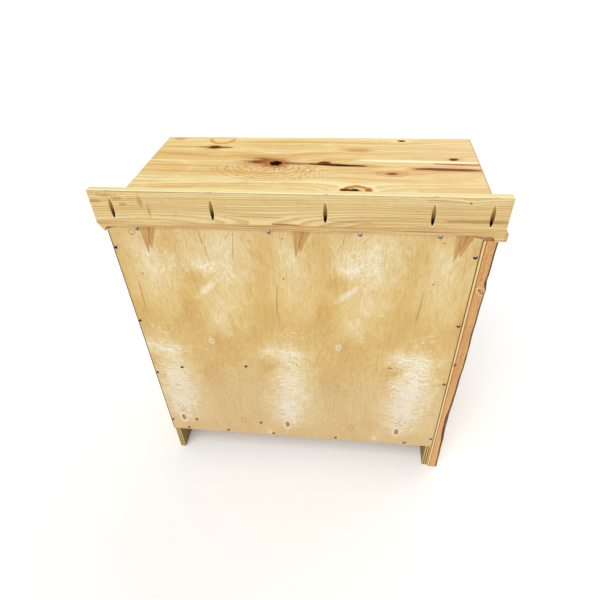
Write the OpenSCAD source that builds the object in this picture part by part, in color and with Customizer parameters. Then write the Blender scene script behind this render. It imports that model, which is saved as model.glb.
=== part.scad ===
// Rustic hickory vanity unit: a solid plank top with a back splash, a plywood
// carcass with a live-edge slab on its left end, a pair of doors and a bank of
// three drawers. X runs to the right as seen from the front, Y runs to the
// back and Z runs up. The origin lies on the floor under the middle of the unit.

/* [Top] */
// Height of the top's upper face above the floor
unit_h = 914; // [840:1:940]
// Width of the top between its two upper arrises
top_w = 940; // [910:1:1000]
// Depth of the top
top_d = 560; // [540:1:620]
// Thickness of the top
top_t = 26; // [24:0.5:32]
// How far the left end bulges below its upper arris
nose = 7; // [3:0.5:9]
// Height over which the bulge swells out
nose_drop = 9; // [5:0.5:11]
// Round of the bulge at the underside
nose_r = 5; // [2:0.5:7]
// How far the underside is cut back at the right end
end_undercut = 14; // [6:0.5:18]
// Square part of the right end above the undercut
end_land = 4; // [2:0.5:6]
// Radius of the front left corner, seen from above
corner_r = 20; // [8:1:35]
// Round of the top's front edge
edge_r = 4; // [2:0.5:8]

/* [Back splash] */
// Height of the back splash
splash_h = 78; // [68:1:100]
// Thickness of the back splash
splash_t = 19; // [17:0.5:22]
// Diameter of the screw pockets
pocket_d = 9.5; // [8.8:0.1:10.5]
// Angle between a pocket and the face that it enters
pocket_angle = 11; // [10.5:0.5:13]
// Height of a pocket's middle above the top
pocket_z = 35; // [34:0.5:37]
// Depth of a pocket along its own axis, from the middle of its mouth
pocket_seat = 25; // [24:0.5:25.5]
// Distance of the first pocket from the right end
pocket_end_right = 50; // [30:1:90]
// Distance of the last pocket from the left end
pocket_end_left = 35.5; // [25:0.5:80]
// Length of a pocket screw below its head
pocket_screw_l = 20; // [18:0.5:20.5]

/* [Carcass] */
// How far the top stands out in front of the face frame
overhang_front = 32; // [30:0.5:45]
// How far the top stands out past the right side
overhang_right = 19; // [10:0.5:25]
// How far the top stands out past the end slab
overhang_left = 7; // [2:0.5:12]
// Thickness of the plywood panels
ply_t = 18; // [16:0.5:20]
// Height of the bottom panel's underside
plinth_h = 117; // [95:1:130]
// Clear width of the drawer bay
bay_w = 282; // [260:0.5:320]
// Width of the two stretchers under the top
stretcher_w = 90; // [70:1:110]
// Height of the two rails at the back of the drawer bay
bay_rail_h = 60; // [50:1:80]
// Thickness of those rails
bay_rail_t = 18; // [16:0.5:20]
// Height of the lower bay rail's middle above the bottom panel
low_rail_z = 41; // [40:1:60]
// Height of the middle bay rail's middle above the bottom panel
mid_rail_z = 299; // [260:0.5:330]
// How far the toe board stands back from the face frame
toe_recess = 70; // [50:1:90]
// Thickness of the toe board
toe_t = 18; // [16:0.5:20]

/* [End slab] */
// Thickness of the live-edge slab on the left end
slab_t = 34; // [30:0.5:42]
// Least width of the natural wane on its outer arrises
wane_min = 3.5; // [2:0.5:5]
// Extra width of the wane where it is widest
wane_swell = 9; // [5:0.5:12]
// Height of the widest place on the back arris
wane_back_z = 240; // [150:1:400]
// Height of the widest place on the front arris
wane_front_z = 560; // [350:1:700]
// Length over which the wane widens
wane_len = 140; // [90:1:200]
// Depth of the wane along the side, for each millimetre of its width
wane_slope = 1.7; // [1.2:0.1:2.2]

/* [Back panel] */
// Thickness of the back panel
back_t = 6; // [5:0.5:9]
// How far its back face lies inside the top's back edge
back_inset = 3; // [2.6:0.1:5]
// Height of its lower edge above the floor
back_clear = 114; // [95:1:116]
// Height of the top's back edge that shows above the panel
band_h = 13; // [11:0.5:15]
// How far the panel stops short of the left side's outer face
back_short = 2; // [1:0.5:4]
// Width of the corner cut off at the upper right
clip_right_w = 30; // [20:1:40]
// Height of the corner cut off at the upper right
clip_right_h = 11; // [7:0.5:12]
// Width of the corner cut off at the upper left
clip_left_w = 38; // [25:1:50]
// Height of the corner cut off at the upper left
clip_left_h = 12; // [7:0.5:13]
// How far the rabbet in the top runs past the panel at the left
rabbet_over_left = 24; // [15:0.5:26]
// How far the rabbet in the top runs past the panel at the right
rabbet_over_right = 3.5; // [2:0.5:5]
// Radius in which the rabbet ends
rabbet_r = 12; // [9:0.5:14]

/* [Face frame] */
// Thickness of the face frame
frame_t = 20; // [18:0.5:24]
// Width of the three stiles
stile_w = 45; // [40:0.5:55]
// Height of the top rail
top_rail_h = 42; // [35:0.5:60]
// Height of the bottom rail
bottom_rail_h = 35; // [30:0.5:50]
// Height of the rails between the drawers
drawer_rail_h = 32; // [26:0.5:38]
// Width of the eased edges on solid wood
ease = 1; // [0.5:0.1:1.6]

/* [Doors] */
// Gap round each door and drawer front
front_gap = 2.5; // [2:0.1:3.5]
// Width of a door's stiles
door_stile_w = 56; // [48:0.5:65]
// Height of a door's rails
door_rail_h = 60; // [50:0.5:80]
// Thickness of a door's panel
door_panel_t = 8; // [6:0.5:10]
// Depth of the groove that holds the panel
groove_d = 9; // [7:0.5:11]
// Setting back of the panel from the door's front face
panel_back = 6; // [4:0.5:7]
// Room for the panel's faces in its groove
groove_room = 0.2; // [0.1:0.1:0.4]
// Room for the panel's edges in its groove
panel_room = 0.8; // [0.4:0.1:2]
// Height of a door knob above the door's lower edge
knob_z = 400; // [300:5:520]

/* [Drawers] */
// Height of the upper drawer's opening
upper_open_h = 160; // [140:1:185]
// Height of the middle drawer's opening
middle_open_h = 180; // [140:1:200]
// Thickness of the box boards
box_t = 12; // [10:0.5:14]
// Room between a drawer box and the rails behind it
box_back_room = 31; // [20:1:80]
// Room under a drawer box
box_under = 12; // [8:0.5:18]
// Room over a drawer box
box_over = 30; // [20:0.5:40]
// Glue line between the box boards
glue_line = 0.1; // [0.05:0.05:0.2]
// Thickness of the drawer bottoms
box_bottom_t = 6; // [4:0.5:8]
// Height of the groove for the bottom above the box's lower edge
bottom_up = 10; // [7:0.5:14]
// Depth of that groove
bottom_groove_d = 5; // [4:0.5:7]
// Room for the bottom in its groove
bottom_room = 0.5; // [0.3:0.1:0.8]

/* [Slides] */
// Room that a drawer slide takes on each side of a box
slide_t = 12.7; // [12:0.1:14]
// Height of the slides
slide_h = 45; // [38:0.5:48]
// Thickness of their steel
slide_sheet = 1.2; // [1:0.1:1.4]
// Running gap between moving metal parts
run_gap = 0.3; // [0.2:0.05:0.4]
// Height of a slide's middle above its box's lower edge
slide_up = 32; // [28:0.5:36]
// How far the packers run on behind the slides
packer_past = 10; // [0:1:18]

/* [Hinges] */
// Length of the hinges
hinge_l = 63; // [50:1:76]
// Diameter of the knuckles
knuckle_d = 9; // [8:0.1:10]
// Diameter of the hinge pins
pin_d = 4; // [3:0.1:5]
// Width of a hinge leaf inside the gap
leaf_w = 17; // [12:0.5:18]
// Distance of a hinge's middle from the door's end
hinge_end = 95; // [70:1:140]

/* [Pulls, knobs and catch] */
// Distance between the two posts of a drawer pull
pull_span = 96; // [64:1:128]
// How far a pull's bar runs on past its posts
bar_over = 14; // [8:1:20]
// Diameter of a pull's bar
pull_bar_d = 9; // [7:0.5:11]
// How far pulls and knobs stand out
pull_reach = 27; // [23:0.5:29]
// Diameter of a pull's posts
post_d = 8; // [7:0.5:10]
// Diameter of the round foot of each post
rose_d = 18; // [14:0.5:22]
// Thickness of that foot
rose_t = 2; // [1.5:0.5:3]
// Diameter of a door knob
knob_d = 30; // [24:0.5:36]
// Thickness of a knob's head
knob_head = 9; // [7:0.5:11]
// How far the screws of pulls and knobs reach into them
screw_bite = 9; // [6:0.5:12]
// Width of the magnetic catch
catch_w = 50; // [40:1:60]
// Depth of the magnetic catch
catch_d = 14; // [10:0.5:20]
// Height of its magnet block
catch_h = 20; // [16:0.5:24]
// Thickness of the arm that holds the block
catch_arm = 2; // [1.5:0.5:3]
// How far the catch reaches down behind the doors
catch_reach = 28; // [24:0.5:32]
// Diameter of the strike plates on the doors
strike_d = 12; // [9:0.5:14]
// Thickness of the strike plates
strike_t = 1.5; // [1:0.1:2]

/* [Shelf] */
// Depth of the adjustable shelf
shelf_d = 400; // [300:5:430]
// Room between the shelf and the back of the face frame
shelf_front_room = 60; // [20:1:65]
// Height of the shelf's underside above the bottom panel
shelf_z = 345; // [250:1:400]
// Distance of the pins from the shelf's ends
pin_end = 37; // [25:1:60]
// Diameter of the shelf pins
shelf_pin_d = 5; // [4:0.5:6]
// Distance between pin holes
pin_pitch = 32; // [25:1:40]

/* [Screws] */
// Diameter of the wood screws
screw_d = 4; // [3.5:0.1:4.4]
// Diameter of their heads
head_d = 8.4; // [7.5:0.1:8.6]
// Height of their heads
head_h = 2.2; // [1.8:0.1:2.5]
// Diameter of the heads on the back panel
back_head_d = 9.6; // [8.8:0.2:9.8]
// Height of those heads
back_head_h = 2.9; // [2.2:0.1:3.2]
// Length of the back panel's screws below the head
back_screw_l = 22; // [18:0.5:23]
// Length of the other wood screws below the head
long_screw_l = 32; // [28:0.5:36]
// Distance of the back panel's corner screws from its upper and lower edges
back_edge = 53; // [40:1:80]
// Distance of its right column of screws from the right edge
column_in_right = 6; // [5:0.5:9]
// Distance of its left column of screws from the side's outer face
column_in_left = 9.5; // [7:0.5:11]
// Distance of its top row of screws from the left edge
top_row_left = 93; // [60:1:110]
// Distance of its top row of screws from the right edge
top_row_right = 76; // [60:1:110]
// Distance of its bottom row of screws from the left edge
bottom_row_left = 89; // [60:1:110]
// Distance of its bottom row of screws from the right edge
bottom_row_right = 55; // [40:1:90]
// Distance of the end slab's screws from the ends of the side
slab_screw_in = 70; // [50:1:100]
// Distance of the top's screws from the ends of the stretchers
top_screw_in = 60; // [40:1:100]

/* [Hidden] */
$fn = 32;
past = 1;                     // how far a cut runs past the face that it opens
half_w = (top_w + nose) / 2;
right_arris = half_w;
left_arris = nose - half_w;
y_rear = top_d / 2;
y_front = -top_d / 2;
case_h = unit_h - top_t;
side_right = right_arris - overhang_right;        // outer face of the right side
slab_out = left_arris + overhang_left;            // outer face of the end slab
side_left = slab_out + slab_t;                    // outer face of the left side
in_right = side_right - ply_t;
in_left = side_left + ply_t;
y_face = y_front + overhang_front;                // front of the face frame
y_case = y_face + frame_t;                        // front edge of the plywood
y_back = y_rear - back_inset;                     // back face of the back panel
y_case_rear = y_back - back_t;
floor_top = plinth_h + ply_t;                     // upper face of the bottom panel
bay_left = in_right - bay_w;                      // right face of the partition
part_left = bay_left - ply_t;                     // left face of the partition
part_x = bay_left - ply_t / 2;
stretcher_z = case_h - ply_t;
y_bay_rail = y_case_rear - bay_rail_t;
box_l = y_bay_rail - y_case - box_back_room;      // length of the drawer boxes and slides
mid_rail_c = floor_top + mid_rail_z;
low_rail_c = floor_top + low_rail_z;

// openings in the face frame
open_left = side_left + stile_w;
open_mid_l = part_x - stile_w / 2;
open_mid_r = part_x + stile_w / 2;
open_right = side_right - stile_w;
open_low = plinth_h + bottom_rail_h;
open_high = case_h - top_rail_h;
drawer_h = [upper_open_h, middle_open_h,
            open_high - open_low - upper_open_h - middle_open_h - 2 * drawer_rail_h];
drawer_z = [open_high - upper_open_h,
            open_high - upper_open_h - drawer_rail_h - middle_open_h,
            open_low];
bay_x = (open_mid_r + open_right) / 2;
front_w = open_right - open_mid_r - 2 * front_gap;
box_w = open_right - open_mid_r - 2 * slide_t;
function box_h(i) = drawer_h[i] - box_under - box_over;
function box_z(i) = drawer_z[i] + box_under;
function slide_z(i) = box_z(i) + slide_up;

// doors
door_w = (open_mid_l - open_left - 3 * front_gap) / 2;
door_h = open_high - open_low - 2 * front_gap;
door_z = open_low + front_gap;
door_x = [open_left + front_gap, open_mid_l - front_gap - door_w];
doors_meet = (open_left + open_mid_l) / 2;
leaf_t = (front_gap - run_gap) / 2;
hinge_y = y_face - knuckle_d / 2 - run_gap;
hinge_x = [open_left + front_gap / 2, open_mid_l - front_gap / 2];
hinge_z = [door_z + hinge_end, door_z + door_h - hinge_end];
knuckle_l = (hinge_l - 2 * run_gap) / 3;

// the back panel's outline and its screws, with the uneven spacing of hand work
back_left = side_left + back_short;
back_top = unit_h - band_h - run_gap;
column_shift_right = [-3, 2, -16, -6];
column_shift_left = [-11, 23, 17, -3];
top_shift = [0, -58, -83, 0];
bottom_shift = [0, 44, 70, 43, 0];
rail_screw_in = [9, 73];       // from the partition's right face and from the right side
rail_screw_skew = [10, 3];     // of the middle and the low pair, off their rail's middle
part_screw_off = 4;            // of the screw into the partition, off its middle
head_edge = 0.6;               // least wood between a top row head and the panel's edge
function spread(a, b, n, i) = a + (b - a) * i / (n - 1);
function column_z(i) = spread(back_clear + back_edge, back_top - back_edge, 4, i);
function top_row_x(i) = spread(back_left + top_row_left, side_right - top_row_right, 4, i);
function bottom_row_x(i) =
    spread(back_left + bottom_row_left, side_right - bottom_row_right, 5, i);
back_screws = concat(
    [for (i = [0 : 3]) [side_right - column_in_right, column_z(i) + column_shift_right[i]]],
    [for (i = [0 : 3]) [side_left + column_in_left, column_z(i) + column_shift_left[i]]],
    [for (i = [0 : 3]) [top_row_x(i) + top_shift[i], back_top - back_head_d / 2 - head_edge]],
    [for (i = [0 : 4]) [bottom_row_x(i) + bottom_shift[i], plinth_h + ply_t / 2]],
    [[bay_left + rail_screw_in[0], mid_rail_c + rail_screw_skew[0]],
     [in_right - rail_screw_in[1], mid_rail_c - rail_screw_skew[0]],
     [part_x - part_screw_off, low_rail_c + rail_screw_skew[1]],
     [in_right - rail_screw_in[1], low_rail_c - rail_screw_skew[1]]]);

// screws of the back splash, the end slab and the top
pocket_shift = [0, -24, -69, -90, 0];
pocket_x = [for (i = [0 : 4])
    spread(right_arris - pocket_end_right, left_arris + pocket_end_left, 5, i) + pocket_shift[i]];
slab_screw_y = [y_case + slab_screw_in, y_case_rear - slab_screw_in];
slab_screw_z = [floor_top + slab_screw_in, (floor_top + stretcher_z) / 2 + slab_screw_in,
                stretcher_z - slab_screw_in];
top_screw_x = [in_left + top_screw_in, (in_left + part_left) / 2, in_right - top_screw_in];
top_screw_y = [y_case + stretcher_w / 2, y_case_rear - stretcher_w / 2];

// shelf pins
shelf_low = floor_top + shelf_z;
pin_z = shelf_low - shelf_pin_d / 2;
pin_in = 10;
pin_out = 8;
shelf_front = y_case + shelf_front_room;
pin_y = [shelf_front + pin_end, shelf_front + shelf_d - pin_end];
pin_rows = [-2 : 2];

// natural wane of the end slab: a swell, with a long and a short ripple on it
slab_rings = 18;
ripple = [0.9, 0.6];           // height of the two ripples
ripple_rate = [1.9, 4.3];      // their turn in degrees for each millimetre of height
wane_turn = [0.3, 0.45];       // where the wane turns, as shares of its width and depth
function wane(z, at) = wane_min + wane_swell * exp(-pow((z - at) / wane_len, 2))
    + ripple[0] * sin(z * ripple_rate[0]) + ripple[1] * sin(z * ripple_rate[1]);

pale_wood = [0.88, 0.74, 0.50];
warm_wood = [0.80, 0.60, 0.38];
ply_wood = [0.86, 0.73, 0.50];
dark_iron = [0.10, 0.09, 0.08];
zinc = [0.66, 0.67, 0.68];
steel = [0.55, 0.56, 0.58];

// shapes that repeat
// a rectangle with cut corners
module cut_rect(s, e) {
    polygon([[e, 0], [s.x - e, 0], [s.x, e], [s.x, s.y - e],
             [s.x - e, s.y], [e, s.y], [0, s.y - e], [0, e]]);
}

// a board with eased edges, from corner a to corner b
module board(a, b, e = ease) {
    s = b - a;
    translate(a) intersection() {
        linear_extrude(s.z) cut_rect([s.x, s.y], e);
        translate([0, s.y, 0]) rotate([90, 0, 0]) linear_extrude(s.y) cut_rect([s.x, s.z], e);
        rotate([90, 0, 90]) linear_extrude(s.x) cut_rect([s.y, s.z], e);
    }
}

// a sharp-edged panel from corner a to corner b
module panel(a, b) {
    translate(a) cube(b - a);
}

// a wood screw on the origin, its head above Z = 0 and its shank below
module screw(len, d = head_d, h = head_h) {
    rotate_extrude() polygon([[0, h], [d * 0.22, h], [d * 0.4, h * 0.72], [d / 2, h * 0.25], [d / 2, 0],
        [screw_d / 2, 0], [screw_d / 2, -len + screw_d / 2], [0, -len]]);
}

// the hole of such a screw, as wide as the shank
module screw_bore(len) {
    translate([0, 0, -len]) cylinder(d = screw_d, h = len + past);
}

// top and back splash
module top_ends() {
    polygon(concat(
        [[right_arris, case_h + top_t - ease], [right_arris - ease, unit_h]],
        [for (t = [0 : 15 : 90]) [left_arris - nose * sin(t), unit_h - nose_drop * (1 - cos(t))]],
        [for (t = [0 : 22.5 : 90]) [left_arris - nose + nose_r * (1 - cos(t)),
                                    case_h + nose_r * (1 - sin(t))]],
        [[right_arris - end_undercut, case_h], [right_arris, unit_h - end_land]]));
}

module top_plan() {
    difference() {
        translate([-half_w - past, y_front]) square([top_w + nose + 2 * past, top_d]);
        translate([-half_w - past, y_front - past]) difference() {
            square(corner_r + past);
            translate([corner_r + past, corner_r + past]) circle(corner_r, $fn = 64);
        }
    }
}

module top_front_edge() {
    polygon(concat(
        [[y_rear, case_h], [y_rear, unit_h]],
        [for (t = [0 : 15 : 90]) [y_front + edge_r * (1 - sin(t)), unit_h - edge_r * (1 - cos(t))]],
        [[y_front, case_h + ease], [y_front + ease, case_h]]));
}

// the stopped rabbet that takes the back panel's upper edge
module rabbet() {
    x0 = back_left - rabbet_over_left;
    x1 = side_right + rabbet_over_right;
    z1 = unit_h - band_h;
    translate([0, y_rear + past, 0]) rotate([90, 0, 0])
        linear_extrude(back_inset + back_t + run_gap + past) {
            translate([x0, case_h - past]) square([x1 - x0, z1 - rabbet_r - case_h + past]);
            translate([x0 + rabbet_r, case_h]) square([x1 - x0 - 2 * rabbet_r, z1 - case_h]);
            for (x = [x0 + rabbet_r, x1 - rabbet_r])
                translate([x, z1 - rabbet_r]) circle(rabbet_r, $fn = 48);
        }
}

module at_pockets() {
    for (x = pocket_x)
        translate([x, y_rear, unit_h + pocket_z]) rotate([-pocket_angle, 0, 0]) children();
}

module at_back_screws() {
    for (p = back_screws) translate([p.x, y_back, p.y]) rotate([-90, 0, 0]) children();
}

module at_top_screws() {
    for (x = top_screw_x, y = top_screw_y)
        translate([x, y, stretcher_z]) rotate([180, 0, 0]) children();
}

module at_slab_screws() {
    for (y = slab_screw_y, z = slab_screw_z)
        translate([in_left, y, z]) rotate([0, 90, 0]) children();
}

module countertop() {
    color(pale_wood) difference() {
        intersection() {
            translate([0, y_rear, 0]) rotate([90, 0, 0]) linear_extrude(top_d) top_ends();
            translate([0, 0, case_h]) linear_extrude(top_t) top_plan();
            translate([-half_w - past, 0, 0]) rotate([90, 0, 90])
                linear_extrude(top_w + nose + 2 * past) top_front_edge();
        }
        rabbet();
        at_pockets() translate([0, 0, -pocket_seat]) screw_bore(pocket_screw_l);
        at_back_screws() screw_bore(back_screw_l);
        at_top_screws() screw_bore(long_screw_l);
    }
}

module backsplash() {
    color(pale_wood) difference() {
        board([left_arris, y_rear - splash_t, unit_h], [right_arris, y_rear, unit_h + splash_h]);
        at_pockets() {
            translate([0, 0, -pocket_seat]) cylinder(d = pocket_d, h = pocket_seat + splash_h);
            translate([0, 0, -pocket_seat]) screw_bore(splash_h);
        }
    }
}

module backsplash_screws() {
    color(zinc) at_pockets() translate([0, 0, -pocket_seat]) screw(pocket_screw_l);
}

// carcass
module side_panel(x) {
    color(ply_wood) difference() {
        panel([x, y_case, 0], [x + ply_t, y_case_rear, case_h]);
        at_back_screws() screw_bore(back_screw_l);
        at_slab_screws() screw_bore(long_screw_l);
        at_shelf_holes() cylinder(d = shelf_pin_d, h = pin_in);
    }
}

// a ring of the end slab at height z, anticlockwise from the inner front corner
function slab_ring(z) =
    let (b = wane(z, wane_back_z), f = wane(z, wane_front_z))
    [[side_left, y_face, z], [side_left, y_back, z],
     [slab_out + b, y_back, z],
     [slab_out + wane_turn[0] * b, y_back - wane_turn[1] * b * wane_slope, z],
     [slab_out, y_back - b * wane_slope, z],
     [slab_out, y_face + f * wane_slope, z],
     [slab_out + wane_turn[0] * f, y_face + wane_turn[1] * f * wane_slope, z],
     [slab_out + f, y_face, z]];

module end_slab() {
    n = 8;
    points = [for (i = [0 : slab_rings]) each slab_ring(case_h * i / slab_rings)];
    sides = [for (i = [0 : slab_rings - 1], k = [0 : n - 1])
        let (a = i * n + k, b = i * n + (k + 1) % n) each [[a, a + n, b + n], [a, b + n, b]]];
    ends = [[for (k = [0 : n - 1]) k], [for (k = [n - 1 : -1 : 0]) slab_rings * n + k]];
    color(warm_wood) difference() {
        polyhedron(points, concat(sides, ends), convexity = 4);
        at_slab_screws() screw_bore(long_screw_l);
    }
}

module end_slab_screws() {
    color(zinc) at_slab_screws() screw(long_screw_l);
}

module bottom_panel() {
    color(ply_wood) difference() {
        panel([in_left, y_case, plinth_h], [in_right, y_case_rear, floor_top]);
        at_back_screws() screw_bore(back_screw_l);
    }
}

module partition() {
    color(ply_wood) difference() {
        panel([part_left, y_case, floor_top], [bay_left, y_case_rear, stretcher_z]);
        at_back_screws() screw_bore(back_screw_l);
        at_shelf_holes() cylinder(d = shelf_pin_d, h = pin_in);
    }
}

module back_panel() {
    color(ply_wood) difference() {
        translate([0, y_back, 0]) rotate([90, 0, 0]) linear_extrude(back_t) polygon([
            [back_left, back_clear], [side_right, back_clear],
            [side_right, back_top - clip_right_h], [side_right - clip_right_w, back_top],
            [back_left + clip_left_w, back_top], [back_left, back_top - clip_left_h]]);
        at_back_screws() screw_bore(back_screw_l);
    }
}

module back_panel_screws() {
    color(dark_iron) at_back_screws() screw(back_screw_l, back_head_d, back_head_h);
}

module stretcher(y) {
    color(ply_wood) difference() {
        panel([in_left, y, stretcher_z], [in_right, y + stretcher_w, case_h]);
        at_top_screws() screw_bore(long_screw_l);
    }
}

module countertop_screws() {
    color(zinc) at_top_screws() screw(long_screw_l);
}

module bay_rails_rear() {
    color(ply_wood) difference() {
        for (z = [low_rail_c, mid_rail_c])
            panel([bay_left, y_bay_rail, z - bay_rail_h / 2], [in_right, y_case_rear, z + bay_rail_h / 2]);
        at_back_screws() screw_bore(back_screw_l);
    }
}

module toe_board() {
    y = y_face + toe_recess;
    color(ply_wood) panel([in_left, y, 0], [in_right, y + toe_t, plinth_h]);
}

// face frame
module frame_piece(x0, z0, x1, z1) {
    color(pale_wood) board([x0, y_face, z0], [x1, y_case, z1]);
}

module frame_drawer_rails() {
    for (i = [0, 1])
        frame_piece(open_mid_r, drawer_z[i] - drawer_rail_h, open_right, drawer_z[i]);
}

// shelf and its pins
module at_shelf_holes() {
    for (y = pin_y, k = pin_rows) {
        translate([in_left, y, pin_z + k * pin_pitch]) rotate([0, -90, 0]) children();
        translate([part_left, y, pin_z + k * pin_pitch]) rotate([0, 90, 0]) children();
    }
}

module shelf() {
    color(ply_wood)
        panel([in_left + run_gap, shelf_front, shelf_low],
              [part_left - run_gap, shelf_front + shelf_d, shelf_low + ply_t]);
}

module shelf_pin() {
    color(zinc) {
        translate([0, 0, -pin_out]) cylinder(d = shelf_pin_d, h = pin_out + pin_in);
    }
}

module shelf_pins() {
    for (y = pin_y) {
        translate([in_left, y, pin_z]) rotate([0, -90, 0]) shelf_pin();
        translate([part_left, y, pin_z]) rotate([0, 90, 0]) shelf_pin();
    }
}

// magnetic catch behind the top rail, and the strike plates
catch_face = y_case + strike_t + run_gap;
catch_low = open_high - catch_reach;
module door_catch() {
    top = stretcher_z - ease;
    arm = catch_face + catch_arm;
    color(zinc) translate([doors_meet - catch_w / 2, 0, 0]) rotate([90, 0, 90])
        linear_extrude(catch_w) polygon([
            [y_case, top], [y_case, open_high + ease], [catch_face, open_high + ease],
            [catch_face, catch_low], [catch_face + catch_d, catch_low],
            [catch_face + catch_d, catch_low + catch_h], [arm, catch_low + catch_h], [arm, top]]);
}

module door_strike(side) {
    color(steel) translate([doors_meet + side * catch_w / 4, y_case, catch_low + catch_h / 2])
        rotate([-90, 0, 0]) cylinder(d = strike_d, h = strike_t);
}

// doors: i is 0 for the left door and 1 for the right one
module door_groove(i) {
    x = door_x[i];
    y = y_face + panel_back - groove_room;
    panel([x + door_stile_w - groove_d, y, door_z + door_rail_h - groove_d],
          [x + door_w - door_stile_w + groove_d, y + door_panel_t + 2 * groove_room,
           door_z + door_h - door_rail_h + groove_d]);
}

module door_stiles(i) {
    x = door_x[i];
    color(pale_wood) difference() {
        for (a = [x, x + door_w - door_stile_w])
            board([a, y_face, door_z], [a + door_stile_w, y_case, door_z + door_h]);
        door_groove(i);
        at_knob(i) knob_bore();
    }
}

module door_rails(i) {
    x = door_x[i];
    color(pale_wood) difference() {
        for (z = [door_z, door_z + door_h - door_rail_h])
            board([x + door_stile_w, y_face, z],
                  [x + door_w - door_stile_w, y_case, z + door_rail_h]);
        door_groove(i);
    }
}

module door_panel(i) {
    x = door_x[i];
    in = groove_d - panel_room;
    y = y_face + panel_back;
    color(pale_wood)
        panel([x + door_stile_w - in, y, door_z + door_rail_h - in],
              [x + door_w - door_stile_w + in, y + door_panel_t,
               door_z + door_h - door_rail_h + in]);
}

module at_knob(i) {
    x = i == 0 ? door_x[0] + door_w - door_stile_w / 2 : door_x[1] + door_stile_w / 2;
    translate([x, y_face, door_z + knob_z]) rotate([90, 0, 0]) children();
}

module knob_bore() {
    translate([0, 0, -frame_t - past]) cylinder(d = screw_d, h = frame_t + 2 * past);
}

// the knob's axis is Z, its foot at Z = 0 on the door's face
module door_knob(i) {
    rim = knob_head / 4;
    color(dark_iron) at_knob(i) {
        difference() {
            rotate_extrude($fn = 48) polygon([
                [0, 0], [rose_d / 2, 0], [rose_d / 2, rose_t], [post_d / 2 + ease, 2 * rose_t],
                [post_d / 2, pull_reach - knob_head - 2 * rim],
                [knob_d / 2 - rim, pull_reach - knob_head], [knob_d / 2, pull_reach - 3 * rim],
                [knob_d / 2 - rim, pull_reach - 1.5 * rim], [knob_d / 4, pull_reach - rim / 2],
                [0, pull_reach]]);
            grip_bore();
        }
        translate([0, 0, -frame_t]) rotate([180, 0, 0]) screw(frame_t + screw_bite);
    }
}

// the hole that a knob's or a pull's screw bites in
module grip_bore() {
    translate([0, 0, -past])
        cylinder(d = screw_d + run_gap, h = screw_bite + past + run_gap);
}

// hinges: the frame's leaf has the two outer knuckles, the door's the middle one
module leaf(side, knuckles) {
    x0 = side > 0 ? run_gap / 2 : -run_gap / 2 - leaf_t;
    neck = hinge_y + knuckle_d / 2 - leaf_t;
    difference() {
        union() {
            translate([x0, y_face, -hinge_l / 2]) cube([leaf_t, leaf_w, hinge_l]);
            for (k = knuckles) translate([0, 0, k * (knuckle_l + run_gap) - knuckle_l / 2]) {
                translate([0, hinge_y, 0]) cylinder(d = knuckle_d, h = knuckle_l);
                translate([x0, neck, 0]) cube([leaf_t, y_face - neck + past, knuckle_l]);
            }
        }
        translate([0, hinge_y, -hinge_l]) cylinder(d = pin_d + run_gap, h = 2 * hinge_l);
    }
}

module hinge_frame_leaves() {
    color(dark_iron) for (i = [0, 1], z = hinge_z)
        translate([hinge_x[i], 0, z]) leaf(i == 0 ? -1 : 1, [-1, 1]);
}

module door_hinge_leaves(i) {
    color(dark_iron) for (z = hinge_z)
        translate([hinge_x[i], 0, z]) leaf(i == 0 ? 1 : -1, [0]);
}

module hinge_pins() {
    tip = 3;
    head_r = pin_d / 2 + 1;
    color(dark_iron) for (x = hinge_x, z = hinge_z) translate([x, hinge_y, z])
        rotate_extrude($fn = 32) polygon([
            [0, -hinge_l / 2 - tip], [pin_d / 2, -hinge_l / 2 - tip],
            [head_r, -hinge_l / 2 - tip / 2], [head_r, -hinge_l / 2],
            [pin_d / 2, -hinge_l / 2], [pin_d / 2, hinge_l / 2],
            [head_r, hinge_l / 2], [head_r, hinge_l / 2 + tip / 2],
            [pin_d / 2, hinge_l / 2 + tip], [0, hinge_l / 2 + tip]]);
}

// drawers: i is 0 for the upper, 1 for the middle and 2 for the lower one
function front_z(i) = drawer_z[i] + drawer_h[i] / 2;
pull_screw_grip = frame_t + box_t;

module at_pull_posts(i) {
    for (s = [-1, 1])
        translate([bay_x + s * pull_span / 2, y_face, front_z(i)]) rotate([90, 0, 0]) children();
}

module pull_bores(i) {
    at_pull_posts(i) translate([0, 0, -pull_screw_grip - past])
        cylinder(d = screw_d, h = pull_screw_grip + 2 * past);
}

module drawer_front(i) {
    color(pale_wood) difference() {
        board([bay_x - front_w / 2, y_face, drawer_z[i] + front_gap],
              [bay_x + front_w / 2, y_case, drawer_z[i] + drawer_h[i] - front_gap]);
        pull_bores(i);
    }
}

module box_bottom(i, room) {
    z = box_z(i) + bottom_up;
    in = box_t - bottom_groove_d + bottom_room - room;
    x = box_w / 2 - in;
    panel([bay_x - x, y_case + in, z - room / 2],
          [bay_x + x, y_case + box_l - in, z + box_bottom_t + room / 2]);
}

module drawer_box(i) {
    z0 = box_z(i);
    z1 = z0 + box_h(i);
    x = box_w / 2;
    color(pale_wood) difference() {
        union() {
            panel([bay_x - x, y_case, z0], [bay_x - x + box_t, y_case + box_l, z1]);
            panel([bay_x + x - box_t, y_case, z0], [bay_x + x, y_case + box_l, z1]);
        }
        box_bottom(i, bottom_room);
    }
    color(pale_wood) difference() {
        for (y = [y_case, y_case + box_l - box_t])
            panel([bay_x - x + box_t + glue_line, y, z0],
                  [bay_x + x - box_t - glue_line, y + box_t, z1]);
        box_bottom(i, bottom_room);
        pull_bores(i);
    }
}

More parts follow.
